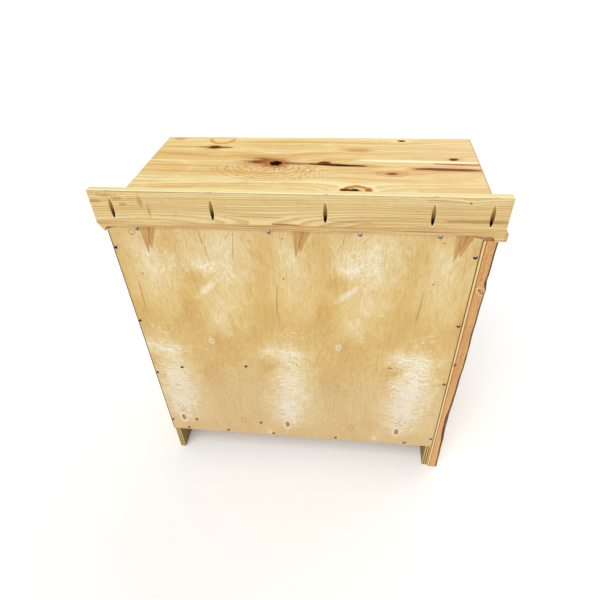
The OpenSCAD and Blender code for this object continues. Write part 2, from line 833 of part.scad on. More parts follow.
module drawer_pull(i) {
    bar_y = pull_reach - pull_bar_d / 2;
    color(dark_iron) {
        difference() {
            union() {
                at_pull_posts(i) {
                    cylinder(d = rose_d, h = rose_t);
                    cylinder(d = post_d, h = bar_y);
                }
                translate([bay_x - pull_span / 2 - bar_over, y_face - bar_y, front_z(i)])
                    rotate([0, 90, 0]) cylinder(d = pull_bar_d, h = pull_span + 2 * bar_over);
            }
            at_pull_posts(i) grip_bore();
        }
        at_pull_posts(i) translate([0, 0, -pull_screw_grip]) rotate([180, 0, 0])
            screw(pull_screw_grip + screw_bite);
    }
}

// slides: each section is drawn from the bay's wall inwards, in X and Z
module channel(web, reach0, reach1, outer) {
    translate([web, -outer]) square([slide_sheet, 2 * outer]);
    for (s = [-1, 1])
        translate([reach0, s > 0 ? outer - slide_sheet : -outer])
            square([reach1 - reach0, slide_sheet]);
}

nest = slide_sheet + run_gap;
web_shift = 1;                 // how far a runner's web lies off the slide's middle
mid_web = (slide_t - slide_sheet) / 2 - web_shift;
module case_section() { channel(0, 0, slide_t - slide_sheet - run_gap, slide_h / 2); }
module runner_section() {
    channel(mid_web, nest, slide_t - nest - run_gap, slide_h / 2 - nest);
}
module drawer_section() {
    channel(slide_t - slide_sheet, mid_web + nest, slide_t, slide_h / 2 - 2 * nest);
}

// puts a section on both walls of drawer i's opening
module slide_pair(i) {
    for (s = [-1, 1]) translate([s < 0 ? open_mid_r : open_right, y_case + box_l, slide_z(i)])
        mirror([s > 0 ? 1 : 0, 0, 0]) rotate([90, 0, 0]) linear_extrude(box_l) children();
}

module slide_packers() {
    color(ply_wood) for (i = [0 : 2]) {
        z = slide_z(i);
        panel([bay_left, y_case, z - slide_h / 2],
              [open_mid_r, y_case + box_l + packer_past, z + slide_h / 2]);
        panel([open_right, y_case, z - slide_h / 2],
              [in_right, y_case + box_l + packer_past, z + slide_h / 2]);
    }
}

module slide_case_members() {
    color(steel) for (i = [0 : 2]) slide_pair(i) case_section();
}

countertop();
backsplash();
backsplash_screws();
side_panel(in_right);  // side_panel_right
side_panel(side_left);  // side_panel_left
end_slab();
end_slab_screws();
bottom_panel();
partition();
back_panel();
back_panel_screws();
stretcher(y_case);  // stretcher_front
stretcher(y_case_rear - stretcher_w);  // stretcher_rear
countertop_screws();
bay_rails_rear();
toe_board();
frame_piece(side_left, 0, open_left, case_h);  // frame_stile_left
frame_piece(open_right, 0, side_right, case_h);  // frame_stile_right
frame_piece(open_mid_l, open_low, open_mid_r, open_high);  // frame_stile_middle
frame_piece(open_left, open_high, open_right, case_h);  // frame_top_rail
frame_piece(open_left, plinth_h, open_right, open_low);  // frame_bottom_rail
frame_drawer_rails();
shelf();
shelf_pins();
door_catch();
slide_packers();
slide_case_members();
hinge_frame_leaves();
hinge_pins();
door_stiles(0);  // door_left_stiles
door_rails(0);  // door_left_rails
door_panel(0);  // door_left_panel
door_knob(0);  // door_left_knob
door_hinge_leaves(0);  // door_left_hinge_leaves
door_strike(-1);  // door_left_strike
door_stiles(1);  // door_right_stiles
door_rails(1);  // door_right_rails
door_panel(1);  // door_right_panel
door_knob(1);  // door_right_knob
door_hinge_leaves(1);  // door_right_hinge_leaves
door_strike(1);  // door_right_strike
drawer_front(0);  // drawer_upper_front
drawer_box(0);  // drawer_upper_box
color(ply_wood) box_bottom(0, 0);  // drawer_upper_bottom
drawer_pull(0);  // drawer_upper_pull
color(steel) slide_pair(0) drawer_section();  // drawer_upper_slide_members
drawer_front(1);  // drawer_middle_front
drawer_box(1);  // drawer_middle_box
color(ply_wood) box_bottom(1, 0);  // drawer_middle_bottom
drawer_pull(1);  // drawer_middle_pull
color(steel) slide_pair(1) drawer_section();  // drawer_middle_slide_members
drawer_front(2);  // drawer_lower_front
drawer_box(2);  // drawer_lower_box
color(ply_wood) box_bottom(2, 0);  // drawer_lower_bottom
drawer_pull(2);  // drawer_lower_pull
color(steel) slide_pair(2) drawer_section();  // drawer_lower_slide_members
color(steel) slide_pair(0) runner_section();  // runner_upper
color(steel) slide_pair(1) runner_section();  // runner_middle
color(steel) slide_pair(2) runner_section();  // runner_lower
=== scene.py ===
import math
import random
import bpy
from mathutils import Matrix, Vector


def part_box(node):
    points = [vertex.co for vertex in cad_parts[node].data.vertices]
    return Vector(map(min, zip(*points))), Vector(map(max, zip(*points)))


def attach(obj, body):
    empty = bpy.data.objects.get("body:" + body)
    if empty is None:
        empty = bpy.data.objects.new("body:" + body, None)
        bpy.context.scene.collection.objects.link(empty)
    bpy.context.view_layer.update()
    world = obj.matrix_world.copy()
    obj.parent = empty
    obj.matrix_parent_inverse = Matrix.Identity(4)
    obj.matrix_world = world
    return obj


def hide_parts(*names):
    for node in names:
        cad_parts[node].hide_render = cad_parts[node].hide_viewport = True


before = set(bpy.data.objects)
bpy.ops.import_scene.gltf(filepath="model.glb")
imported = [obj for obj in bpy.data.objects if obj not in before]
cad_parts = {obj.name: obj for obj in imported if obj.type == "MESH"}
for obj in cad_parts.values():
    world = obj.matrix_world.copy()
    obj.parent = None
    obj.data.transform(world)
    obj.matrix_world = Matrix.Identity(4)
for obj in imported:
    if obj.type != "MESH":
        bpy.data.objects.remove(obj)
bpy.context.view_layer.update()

from fnmatch import fnmatch

import bmesh
import bpy
from mathutils import Matrix, Vector, noise

# Rustic hickory vanity unit. Lengths are in metres; X is right as seen from the
# front, Y points to the wall behind, Z is up and the floor is at 0.
scene = bpy.context.scene
mm = 0.001


def nodeBox(name):
    low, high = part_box(name)
    return Vector(low), Vector(high)


def paint(red, green, blue):
    # a colour as it is seen on screen, 0 to 255, turned into the linear one that nodes want
    linear = []
    for level in (red, green, blue):
        share = level / 255
        linear.append(share / 12.92 if share <= 0.04045 else ((share + 0.055) / 1.055) ** 2.4)
    return (*linear, 1)


print("camera")
camera = {
    "place": (-0.14397, 1.24723, 1.45476),
    "azimuth": 8.22,  # degrees off the wall's normal
    "elevation": 41.78,
    "roll": -2.58,
    "focalPixels": 478.8,  # in pixels of the 600 pixel frame
    "axisPixel": (300.1, 335.1),
    "framePixels": 600,
    "sensor": 36,
}


def placeCamera(how):
    turn, lift, roll = (math.radians(how[key]) for key in ("azimuth", "elevation", "roll"))
    level = Vector((-math.cos(turn), -math.sin(turn), 0))
    back = Vector((-math.sin(turn) * math.cos(lift), math.cos(turn) * math.cos(lift), math.sin(lift)))
    upward = back.cross(level)
    right = level * math.cos(roll) + upward * math.sin(roll)
    top = upward * math.cos(roll) - level * math.sin(roll)
    data = bpy.data.cameras.new("camera")
    data.sensor_width = how["sensor"]
    data.lens = how["focalPixels"] / how["framePixels"] * how["sensor"]
    middle = how["framePixels"] / 2
    data.shift_x = (middle - how["axisPixel"][0]) / how["framePixels"]
    data.shift_y = (how["axisPixel"][1] - middle) / how["framePixels"]
    eye = bpy.data.objects.new("camera", data)
    turned = Matrix((right, top, back)).transposed().to_4x4()
    eye.matrix_world = Matrix.Translation(how["place"]) @ turned
    scene.collection.objects.link(eye)
    scene.camera = eye


placeCamera(camera)


class Wire:
    # an output socket; sums on it add Math nodes to its web
    def __init__(self, web, socket):
        self.web = web
        self.socket = socket

    def __add__(self, other):
        return self.web.maths("ADD", self, other)

    def __radd__(self, other):
        return self.web.maths("ADD", other, self)

    def __sub__(self, other):
        return self.web.maths("SUBTRACT", self, other)

    def __rsub__(self, other):
        return self.web.maths("SUBTRACT", other, self)

    def __mul__(self, other):
        return self.web.maths("MULTIPLY", self, other)

    def __rmul__(self, other):
        return self.web.maths("MULTIPLY", other, self)

    def __truediv__(self, other):
        return self.web.maths("DIVIDE", self, other)

    def __abs__(self):
        return self.web.maths("ABSOLUTE", self)

    def least(self, other):
        return self.web.maths("MINIMUM", self, other)

    def most(self, other):
        return self.web.maths("MAXIMUM", self, other)

    def fraction(self):
        return self.web.maths("FRACT", self)

    def falloff(self):
        # of a reach in radii: 1 at the middle of an oval and next to nothing at twice its radius
        return self.web.maths("EXPONENT", self * self * -1)

    def rise(self, low, high):
        # a smooth step from 0 at low to 1 at high, which may be the lower of the two
        settings = {"interpolation_type": "SMOOTHSTEP"}
        return self.web.add("ShaderNodeMapRange", settings, {0: self, 1: low, 2: high})

    def band(self, start, full, ebb, end):
        # up from start to full, and down again from ebb to end
        return self.rise(start, full) * self.rise(end, ebb)


class Web:
    # a node tree that grows as wires are worked out
    def __init__(self, tree):
        self.tree = tree

    def plug(self, socket, value):
        # a value of three levels is a colour as it is seen on screen
        if isinstance(value, Wire):
            self.tree.links.new(value.socket, socket)
        elif isinstance(value, tuple) and len(value) == 3:
            socket.default_value = paint(*value)
        else:
            socket.default_value = value

    def add(self, kind, settings=None, values=None, output=0):
        node = self.tree.nodes.new(kind)
        for name, value in (settings or {}).items():
            if name == "stops":
                self.setStops(node.color_ramp, value)
            else:
                setattr(node, name, value)
        for key, value in (values or {}).items():
            self.plug(node.inputs[key], value)
        return Wire(self, node.outputs[output])

    def setStops(self, ramp, stops):
        while len(ramp.elements) < len(stops):
            ramp.elements.new(0.5)
        for element, (place, colour) in zip(ramp.elements, stops):
            element.position = place
            element.color = paint(*colour)

    def split(self, vector):
        return [self.add("ShaderNodeSeparateXYZ", None, {0: vector}, axis) for axis in range(3)]

    def place(self):
        # the three coordinates of the surface point, in metres, in the part's own frame
        return self.split(self.add("ShaderNodeTexCoord", output="Object"))

    def normal(self):
        return self.split(self.add("ShaderNodeTexCoord", output="Normal"))

    def noise(self, x, y, z, detail=2, roughness=0.5):
        # the three values are already stretched, so the scale stays 1
        spot = self.add("ShaderNodeCombineXYZ", None, {0: x, 1: y, 2: z})
        values = {"Vector": spot, "Scale": 1, "Detail": detail, "Roughness": roughness}
        return self.add("ShaderNodeTexNoise", None, values)

    def ramp(self, value, stops):
        return self.add("ShaderNodeValToRGB", {"stops": stops}, {0: value})

    def blend(self, share, first, second):
        return self.add("ShaderNodeMix", {"data_type": "RGBA"}, {0: share, 6: first, 7: second}, 2)

    def lightness(self, colour):
        return self.add("ShaderNodeRGBToBW", None, {0: colour})

    def maths(self, operation, first, second=0):
        return self.add("ShaderNodeMath", {"operation": operation}, {0: first, 1: second})

    def oval(self, first, second, centre, radii, tilt=0):
        # how far a point lies from the middle of an oval, in radii; first leans by tilt along second
        along = second - centre[1]
        across = first - centre[0] - along * tilt if tilt else first - centre[0]
        across = across / radii[0]
        along = along / radii[1]
        return self.maths("SQRT", across * across + along * along)

    def seen(self):
        # 1 for the camera, and for what metal and glass show it
        rays = ("Is Camera Ray", "Is Glossy Ray", "Is Transmission Ray")
        camera, glossy, through = (self.add("ShaderNodeLightPath", output=ray) for ray in rays)
        return camera.most(glossy).most(through)


class Finish(Web):
    # one material: its shader, the nodes that feed it, and the colour that has been laid so far
    def __init__(self, name, roughness=0.5, metallic=0, shine=0.5):
        self.material = bpy.data.materials.new(name)
        self.material.use_nodes = True
        super().__init__(self.material.node_tree)
        self.shader = self.tree.nodes["Principled BSDF"]
        self.set("Roughness", roughness)
        self.set("Metallic", metallic)
        self.set("Specular IOR Level", shine)

    def set(self, name, value):
        self.plug(self.shader.inputs[name], value)

    def lay(self, share, hue):
        self.colour = self.blend(share, self.colour, hue)

    def relief(self, height, distance, strength):
        values = {"Height": height, "Distance": distance, "Strength": strength}
        self.set("Normal", self.add("ShaderNodeBump", None, values))


def cover(nodes, finish):
    # gives CAD nodes a finish through their own material slots
    for name in nodes:
        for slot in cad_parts[name].material_slots:
            slot.link = "OBJECT"
            slot.material = finish.material


print("solid hickory")
axisOf = {"x": 0, "y": 1, "z": 2}
hickory = {
    "cream": (244, 222, 164),
    "straw": (233, 201, 134),
    "tan": (211, 166, 98),
    "heart": (170, 112, 60),
    "ring": (190, 136, 74),
    "streak": (200, 146, 82),
    "pore": (150, 98, 52),
    "endGrain": (176, 124, 70),
    "rubbed": (250, 232, 184),
    "ringWidth": 7 * mm,
    "fibreLength": 0.11,
    "fibreWidth": 1.4 * mm,
    "taper": 1.4,  # rings crossed in each metre of the board
    "drift": 0.035,  # how far the rings wander
    "uneven": 2.2,  # how much the ring widths differ
    "tone": 0.45,  # 0 is all sapwood, 1 is dark heartwood
    "contrast": 1,
    "ringShare": 0.55,  # how strongly each mark shows
    "streakShare": 0.55,
    "fibreShare": 0.36,
    "poreShare": 0.34,
    "endShare": 0.5,
    "joints": (),  # axis and place of each joint between boards
    "boardShift": 0.337,  # how far the grain jumps from board to board
    "knots": (),
    "edges": 0,  # how far the rubbed arrises reach
    "shine": 0.22,
    "coat": 0,  # varnish, which dark open wood soaks up
}
plainKnot = {
    "tilt": 0,
    "ragged": 0.7,
    "halo": 0.6,
    "haloColour": (214, 156, 78),
    "rim": 0.9,
    "rimColour": (134, 72, 28),
    "ring": 0,  # a loose ring round the knot, and how many radii out it lies
    "ringAt": 1.9,
    "ringColour": (166, 100, 50),
    "core": 0.95,
    "coreColour": (30, 12, 3),
}


def knotBumps(web, rings, along, across, knots):
    # growth rings close round each knot
    for knot in knots:
        reach = web.oval(along, across, knot["at"], knot["reach"])
        rings = rings + reach.falloff() * knot["rings"]
    return rings


def knotMarks(web, along, across, knots, seed):
    # lays each knot's halo, rim, ring and core, and tells where the wood is open
    ragged = (web.noise(along * 110 + seed, across * 190, seed, 3) - 0.5) * 1.3
    opened = 0
    for own in knots:
        knot = {**plainKnot, **own}
        reach = web.oval(along, across, knot["at"], knot["size"], knot["tilt"])
        torn = reach + ragged * knot["ragged"]
        web.lay(torn.rise(3, 0.9) * knot["halo"], knot["haloColour"])
        web.lay(torn.rise(1.45, 0.8) * knot["rim"], knot["rimColour"])
        if knot["ring"]:
            at = knot["ringAt"]
            aside = abs(reach + ragged * (0.18 * at) - at)
            web.lay(aside.rise(0.18 * at, 0.05 * at) * knot["ring"], knot["ringColour"])
        if knot["core"]:
            core = torn.rise(1.05, 0.65) * knot["core"]
            web.lay(core, knot["coreColour"])
            opened = core + opened
    return opened


def rubbed(web, spot, box, reach):
    # how near a point is to an arris of a box
    near = []
    for value, low, high in zip(spot, *box):
        inward = (value - low).least(high - value)
        near.append(inward.rise(reach, reach * 0.2))
    pairs = (near[0] * near[1]).most(near[1] * near[2])
    return pairs.most(near[0] * near[2])


def hickoryFinish(name, grain, face, seed, pith, marks=None, box=None, **changes):
    # grain is the axis that the fibres follow and face the one that looks out of the board
    how = {**hickory, **changes}
    web = Finish(name, shine=how["shine"])
    spot = web.place()
    normal = web.normal()
    along = spot[axisOf[grain]]
    depth = spot[axisOf[face]]
    across = spot[3 - axisOf[grain] - axisOf[face]]
    offset = 0
    for axis, place in how["joints"]:
        offset = spot[axisOf[axis]].rise(place - 0.1 * mm, place + 0.1 * mm) * how["boardShift"] + offset
    run = along + offset
    # growth rings round a pith that lies outside the board
    wander = web.noise(run * 1.8 + seed, across * 4, depth * 4, 3)
    wide = across + (wander - 0.5) * how["drift"] - pith[0] - offset * 0.2
    low = depth - pith[1]
    radius = web.maths("SQRT", wide * wide + low * low)
    rings = radius / how["ringWidth"] + run * how["taper"]
    rings = knotBumps(web, rings, along, across, how["knots"])
    uneven = web.noise(rings * 0.6, run * 0.5, seed, 2)
    lateWood = (rings + (uneven - 0.5) * how["uneven"]).fraction().band(0.25, 0.92, 0.95, 1)
    # fibres, streaks and pores along the grain
    size = how["fibreWidth"]
    fibres = web.noise(run / how["fibreLength"], across / size, depth / size + seed, 3, 0.6)
    streaks = web.noise(run * 2.6 + seed * 1.7, rings * 1.7, seed, 4, 0.62)
    pores = web.noise(run * 42 + seed, across * 850, depth * 850, 2).rise(0.59, 0.7)
    bands = web.noise(run * 0.8 + seed * 3.1, rings * 0.33, seed + offset * 40, 3, 0.55)
    warmth = bands.rise(0.25, 0.75) * 0.85 + (how["tone"] - hickory["tone"])
    stops = [(0, how["cream"]), (0.4, how["straw"]), (0.8, how["tan"]), (1, how["heart"])]
    web.colour = web.ramp(warmth, stops)
    contrast = how["contrast"]
    web.lay(lateWood * (0.35 + 0.65 * fibres) * (how["ringShare"] * contrast), how["ring"])
    web.lay(streaks.rise(0.5, 0.72) * (how["streakShare"] * contrast), how["streak"])
    web.lay(fibres.rise(0.5, 0.8) * (how["fibreShare"] * contrast), how["ring"])
    web.lay(pores * how["poreShare"], how["pore"])
    web.lay(abs(normal[axisOf[grain]]).rise(0.55, 0.85) * how["endShare"], how["endGrain"])
    opened = 0
    if how["knots"]:
        opened = knotMarks(web, along, across, how["knots"], seed)
    if marks:
        marks(web, spot, normal)
    gloss = 0.42 + 0.2 * fibres + 0.1 * lateWood
    if how["edges"]:
        worn = rubbed(web, spot, box, how["edges"])
        worn = worn * web.noise(run * 30, across * 60, depth * 60, 3).rise(0.35, 0.6)
        web.lay(worn * 0.55, how["rubbed"])
        gloss = gloss + worn * 0.15
    if how["coat"]:
        web.set("Coat Weight", web.lightness(web.colour).rise(0.06, 0.3) * how["coat"])
        web.set("Coat Roughness", 0.35)
    web.set("Base Color", web.colour)
    web.set("Roughness", gloss)
    web.relief(fibres * 0.35 + lateWood * 0.3 - pores * 0.6 - opened * 1.6, 0.4 * mm, 0.75)
    return web


def streakMarks(web, along, across, streaks, seed):
    # long stains and cracks that follow the grain
    frayed = (web.noise(along * 16 + seed, across * 170, seed, 4) - 0.5) * 1.8
    for (start, end), (startLevel, endLevel), half, hue, strength in streaks:
        level = (along - start) * ((endLevel - startLevel) / (end - start)) + startLevel
        reach = abs(along - (start + end) / 2) / (abs(end - start) / 2)
        aside = abs(across - level) / half + frayed + reach * reach * 0.5
        web.lay(aside.rise(1.5, 0.5) * reach.rise(1.05, 0.8) * strength, hue)


print("top")
topBox = nodeBox("countertop")
bigKnot = (0.094, -0.075)
top = {
    "cream": (247, 232, 176),
    "straw": (240, 215, 148),
    "tan": (229, 187, 110),
    "heart": (190, 126, 60),
    "ring": (196, 138, 68),
    "streak": (208, 152, 78),
    "ringWidth": 14 * mm,
    "taper": 1.6,
    "drift": 0.085,
    "uneven": 1.8,
    "shine": 0,
    "coat": 0.3,
    "joints": (("y", -0.0965),),
    "crescent": ((0.291, -0.262), (0.041, 0.042)),  # its middle and radii
    "knots": (
        dict(at=(0.14, -0.091), size=(0.034, 0.019), reach=(0.05, 0.035), rings=1, core=0.25, rim=0.95,
             halo=0.75, ragged=1.4, haloColour=(200, 134, 66), rimColour=(150, 84, 36)),
        dict(at=(-0.043, -0.079), size=(0.018, 0.012), reach=(0.05, 0.035), rings=1, core=0.9, rim=1,
             rimColour=(116, 46, 14), halo=0.6, ragged=0.3),
        dict(at=bigKnot, size=(0.019, 0.016), reach=(0.095, 0.08), rings=3, halo=0.8, core=0.92, rim=1,
             ragged=1.1, haloColour=(196, 116, 44), rimColour=(84, 36, 8), ring=0.75, ringAt=1.6),
        dict(at=(0.303, -0.192), size=(0.021, 0.011), reach=(0.06, 0.034), rings=1, halo=0.7, rim=1, core=1,
             ragged=0.4, haloColour=(206, 142, 66)),
        dict(at=(0.432, -0.262), size=(0.012, 0.01), reach=(0.03, 0.018), rings=0.8, core=0, rim=0.3),
        dict(at=(-0.138, -0.178), size=(0.03, 0.011), reach=(0.06, 0.03), rings=1.2, core=0, rim=0.45,
             halo=0.5, rimColour=(190, 116, 54)),
        dict(at=(-0.265, -0.254), size=(0.012, 0.007), reach=(0.04, 0.03), rings=1, halo=0.9,
             haloColour=(252, 226, 130), ragged=0.4),
        dict(at=(-0.23, -0.014), size=(0.014, 0.007), reach=(0.055, 0.04), rings=1.4, halo=0.85,
             haloColour=(206, 134, 60), rim=1, rimColour=(96, 44, 14), ring=0.35, ringAt=2.8, ragged=0.6),
        dict(at=(-0.403, -0.115), size=(0.012, 0.008), reach=(0.04, 0.03), rings=1, halo=0.7,
             haloColour=(214, 150, 76), core=0.45, rimColour=(120, 62, 26)),
        dict(at=(-0.132, 0.098), size=(0.019, 0.02), reach=(0.08, 0.06), rings=2, halo=0.6,
             haloColour=(222, 160, 70), rim=0.5, rimColour=(170, 100, 30), core=0),
    ),
    "streaks": (
        # ends along X, where they lie in Y, half the width, colour and strength
        ((0.076, 0.004), (-0.077, -0.073), 0.009, (156, 88, 36), 0.85),
        ((0.03, -0.215), (-0.076, -0.058), 0.013, (206, 132, 62), 0.55),
        ((0.014, -0.169), (-0.075, -0.061), 0.007, (74, 24, 6), 1),
        ((-0.265, -0.48), (-0.049, -0.041), 0.018, (206, 140, 92), 0.55),
        ((-0.282, -0.476), (-0.049, -0.042), 0.0086, (108, 58, 34), 0.88),
        ((-0.34, -0.48), (-0.084, -0.076), 0.0065, (176, 86, 36), 0.8),
        ((-0.12, -0.485), (-0.104, -0.092), 0.0072, (254, 245, 204), 1),
        ((0.24, 0.365), (-0.19, -0.193), 0.006, (122, 64, 22), 0.85),
        ((0.475, 0.31), (-0.196, -0.194), 0.008, (206, 146, 72), 0.6),
        ((0.24, 0.475), (-0.2785, -0.2785), 0.0028, (136, 88, 66), 0.85),
        ((0.475, 0.3), (-0.15, -0.128), 0.008, (206, 146, 74), 0.5),
        ((-0.05, -0.33), (-0.02, -0.012), 0.008, (212, 148, 70), 0.4),
        ((0.33, -0.08), (-0.118, -0.15), 0.007, (212, 154, 76), 0.45),
        ((0.475, 0.25), (-0.06, -0.052), 0.006, (214, 154, 74), 0.5),
        ((0.12, -0.33), (0.13, 0.122), 0.006, (214, 156, 80), 0.45),
        ((0.475, 0.13), (-0.104, -0.1), 0.01, (232, 196, 128), 0.7),
    ),
}


def sapMarks(web, x, y):
    # soft blotches off the knots, a painted highlight along the rounded front edge, and sapwood towards the
    # back splash
    pale = web.lightness(web.colour).rise(0.12, 0.36)
    blotchy = web.noise(x * 10 + 3, y * 24, 5, 4, 0.6)
    web.lay(blotchy.rise(0.52, 0.72) * pale * 0.4, (226, 174, 98))
    web.lay(blotchy.rise(0.48, 0.3) * pale * 0.4, (254, 238, 172))
    corner = web.oval(x, y, (0.36, -0.215), (0.17, 0.06)).falloff() * pale
    web.lay(corner * 0.35, (250, 228, 156))
    frayed = (web.noise(x * 5, y * 40, 3, 3) - 0.5) * 0.06
    front = (y + frayed).rise(-0.236, -0.262) * x.rise(0.275, 0.225)
    web.lay(front * pale * 0.42, (252, 238, 174))
    web.lay(x.rise(-0.2, -0.42) * pale * 0.25, (238, 196, 138))
    back = (y + frayed * 1.6).rise(0.075, 0.19)
    web.lay(back * pale * 0.42, (253, 242, 182))


def bigKnotMarks(web, x, y, crinkle):
    # dark rays and crinkled figure on the splash side of the big knot
    offX = x - bigKnot[0]
    offY = y - bigKnot[1]
    angle = web.maths("ARCTAN2", offX, offY)
    reach = web.oval(x, y, bigKnot, (0.034, 0.034))
    rays = web.noise(angle * 8, reach * 0.7, 4, 3, 0.6)
    fan = reach.band(2.1, 0.9, 0.75, 0.45) * offY.rise(-0.006, 0.01)
    web.lay(rays.rise(0.48, 0.6) * fan * 0.75, (158, 90, 36))
    swirl = web.oval(x, y, (0.118, -0.058), (0.165, 0.118))
    arcs = (swirl * 8 + (crinkle - 0.5) * 2.4).fraction().band(0.45, 0.7, 0.82, 0.98)
    near = swirl.band(1.1, 0.7, 0.3, 0.1) * offY.rise(0.004, 0.024)
    web.lay(arcs * near * 0.55, (196, 134, 66))
    # curly grain between that knot and the one by the splash
    curly = web.noise(x * 190 + crinkle * 6, y * 50 + crinkle * 4, 9, 4, 0.65)
    patch = web.oval(x, y, (-0.005, -0.01), (0.06, 0.05)).falloff()
    web.lay(curly.rise(0.5, 0.62) * patch * 0.6, (252, 234, 166))
    web.lay(curly.rise(0.47, 0.36) * patch * 0.6, (186, 122, 56))


def crescentMarks(web, x, y):
    # golden, and open towards the front
    middle, radii = top["crescent"]
    reach = web.oval(x, y, middle, radii)
    hollow = y.rise(middle[1] - 0.008, middle[1] + 0.01)
    web.lay(reach.rise(1.02, 0.86) * hollow * 0.4, (252, 224, 140))
    web.lay(reach.band(0.6, 0.94, 1, 1.1) * hollow * 0.85, (204, 144, 54))


def archMarks(web, x, y, crinkle):
    # the half knot by the splash lies in a pale eye under an orange arch
    arch = web.oval(x, y, (-0.139, 0.096), (0.034, 0.027)) + (crinkle - 0.5) * 0.8
    web.lay(arch.band(0.35, 0.55, 0.75, 0.95) * 0.6, (250, 222, 142))
    web.lay(arch.band(0.66, 0.9, 1.14, 1.42) * 0.88, (180, 112, 36))
    web.lay(arch.band(1.24, 1.36, 1.5, 1.75) * 0.4, (255, 246, 186))
    for at, size, hue in (((-0.168, 0.09), (0.01, 0.009), (166, 96, 30)),
                          ((-0.108, 0.089), (0.013, 0.008), (96, 38, 12)),
                          ((-0.13, 0.091), (0.015, 0.01), (24, 12, 2))):
        blob = web.oval(x, y, at, size) + (crinkle - 0.5) * 1.2
        web.lay(blob.rise(1.25, 0.7) * 0.92, hue)


def topMarks(web, spot, normal):
    x, y, z = spot
    plain = web.colour
    crinkle = web.noise(x * 34, y * 26, 7, 5, 0.62)
    sapMarks(web, x, y)
    bigKnotMarks(web, x, y, crinkle)
    streakMarks(web, x, y, top["streaks"], 4)
    crescentMarks(web, x, y)
    archMarks(web, x, y, crinkle)
    # only the upper face has all this
    web.colour = web.blend(normal[2].rise(0.2, 0.6), plain, web.colour)
    # the arris by the slab goes red, and the rear edge is brown and pink in streaks
    tip = x.rise(topBox[0].x + 8.5 * mm, topBox[0].x + 5 * mm)
    web.lay(tip * 0.55, (188, 112, 62))
    rear = normal[1].rise(0.4, 0.7)
    streaky = web.noise(x * 4.5, z * 300, 3, 4, 0.6)
    web.lay(rear * 0.45, (236, 200, 146))
    web.lay(rear * streaky.rise(0.46, 0.6) * 0.55, (172, 118, 76))
    web.lay(rear * streaky.rise(0.6, 0.7) * 0.6, (120, 76, 46))


topPith = (0.06, topBox[0].z - 0.045)
cover(["countertop"], hickoryFinish("hickory top", "x", "z", 2, topPith, topMarks, **top))

print("back splash")
splashBox = nodeBox("backsplash")
splash = {
    "cream": (252, 232, 172),
    "straw": (243, 217, 154),
    "tan": (228, 193, 128),
    "heart": (196, 150, 88),
    "ring": (190, 142, 80),
    "streak": (204, 158, 94),
    "contrast": 1.25,
    "ringWidth": 4.6 * mm,
    "taper": 2.2,
    "uneven": 0.9,
    "knots": (
        dict(at=(-0.38, 0.978), size=(0.0022, 0.0016), reach=(0.03, 0.012), rings=1, halo=0.4),
        dict(at=(0.07, 0.899), size=(0.001, 0.001), reach=(0.15, 0.04), rings=4.2, halo=0, rim=0, core=0),
    ),
    "streaks": (
        # ends along X, where they lie in Z, half the width, colour and strength
        ((-0.285, -0.385), (0.984, 0.9785), 0.0009, (140, 92, 46), 0.65),
        ((-0.33, -0.478), (0.936, 0.9365), 0.0034, (170, 120, 66), 0.6),
        ((0.052, -0.014), (0.918, 0.9165), 0.0018, (126, 78, 34), 0.75),
        ((0.445, 0.48), (0.9655, 0.9655), 0.004, (172, 122, 70), 0.5),
        ((-0.08, -0.18), (0.93, 0.926), 0.002, (184, 134, 76), 0.5),
        ((0.15, 0.02), (0.936, 0.934), 0.0014, (180, 126, 66), 0.6),
    ),
    "stains": (
        # Z and X of the middle, both radii, and how it leans
        ((0.966, 0.352), (0.013, 0.004), 0.6),
        ((0.943, 0.335), (0.012, 0.003), 0.6),
        ((0.981, 0.43), (0.003, 0.018), 0),
        ((0.973, 0.405), (0.003, 0.01), 0),
        ((0.958, 0.395), (0.003, 0.008), 0),
    ),
    "pockets": (0.4235, 0.1859, -0.0727, -0.3074, -0.431),
    "pocketHalf": 5.3 * mm,
    "mouthZ": 0.949,
    "mouthRadii": (4.75 * mm, 24.9 * mm),
    # colours down a pocket, from the scorched mouth to painted shade at the bottom
    "scorchAndShade": [(0, (186, 150, 82)), (0.45, (162, 124, 60)), (0.78, (134, 98, 44)),
               (0.92, (70, 46, 20)), (1, (16, 10, 6))],
}


def pocketMarks(web, spot, deep, rear, normal):
    # scorched, with painted shade that darkens them with depth, and a painted highlight on one rim of each
    x, y, z = spot
    inside = 0
    for place in splash["pockets"]:
        inside = abs(x - place).rise(splash["pocketHalf"], splash["pocketHalf"] - 0.3 * mm) + inside
        reach = web.oval(x, z, (place, splash["mouthZ"]), splash["mouthRadii"])
        rim = reach.rise(1.34, 1.1) * x.rise(place + 0.5 * mm, place - 2.5 * mm) * rear
        web.lay(rim * 0.55, (255, 240, 196))
    inside = inside * deep.rise(0.15 * mm, 0.5 * mm) * abs(normal[2]).rise(0.97, 0.93)
    inside = inside * (y - splashBox[0].y).rise(0.2 * mm, 0.6 * mm)
    web.lay(inside, web.ramp(deep.rise(-1 * mm, 9 * mm), splash["scorchAndShade"]))


def splashMarks(web, spot, normal):
    x, y, z = spot
    deep = splashBox[1].y - y
    rear = deep.rise(1 * mm, 0.2 * mm)
    streakMarks(web, x, z, splash["streaks"], 9)
    blots = web.noise(x * 130, z * 130, 1, 5, 0.65)
    for middle, radii, tilt in splash["stains"]:
        reach = web.oval(z, x, middle, radii, tilt)
        web.lay((reach + (blots - 0.5) * 3.8).rise(1.9, 0.5) * rear * 0.65, (198, 136, 54))
    # painted light: the upper face is lit pale, with a painted highlight along its arris, over a brown line
    # of painted shade under the arris
    line = (splashBox[1].z - z).rise(3 * mm, 1.6 * mm) * rear
    web.lay(line * (x.rise(-0.3, 0.2) * 0.6 + 0.3), (166, 112, 44))
    upper = normal[2].rise(0.45, 0.75)
    web.lay(upper * 0.75, (238, 220, 158))
    arrisHighlight = upper * deep.rise(6 * mm, 3.5 * mm)
    web.lay(arrisHighlight * 0.7, (253, 245, 200))
    pocketMarks(web, spot, deep, rear, normal)


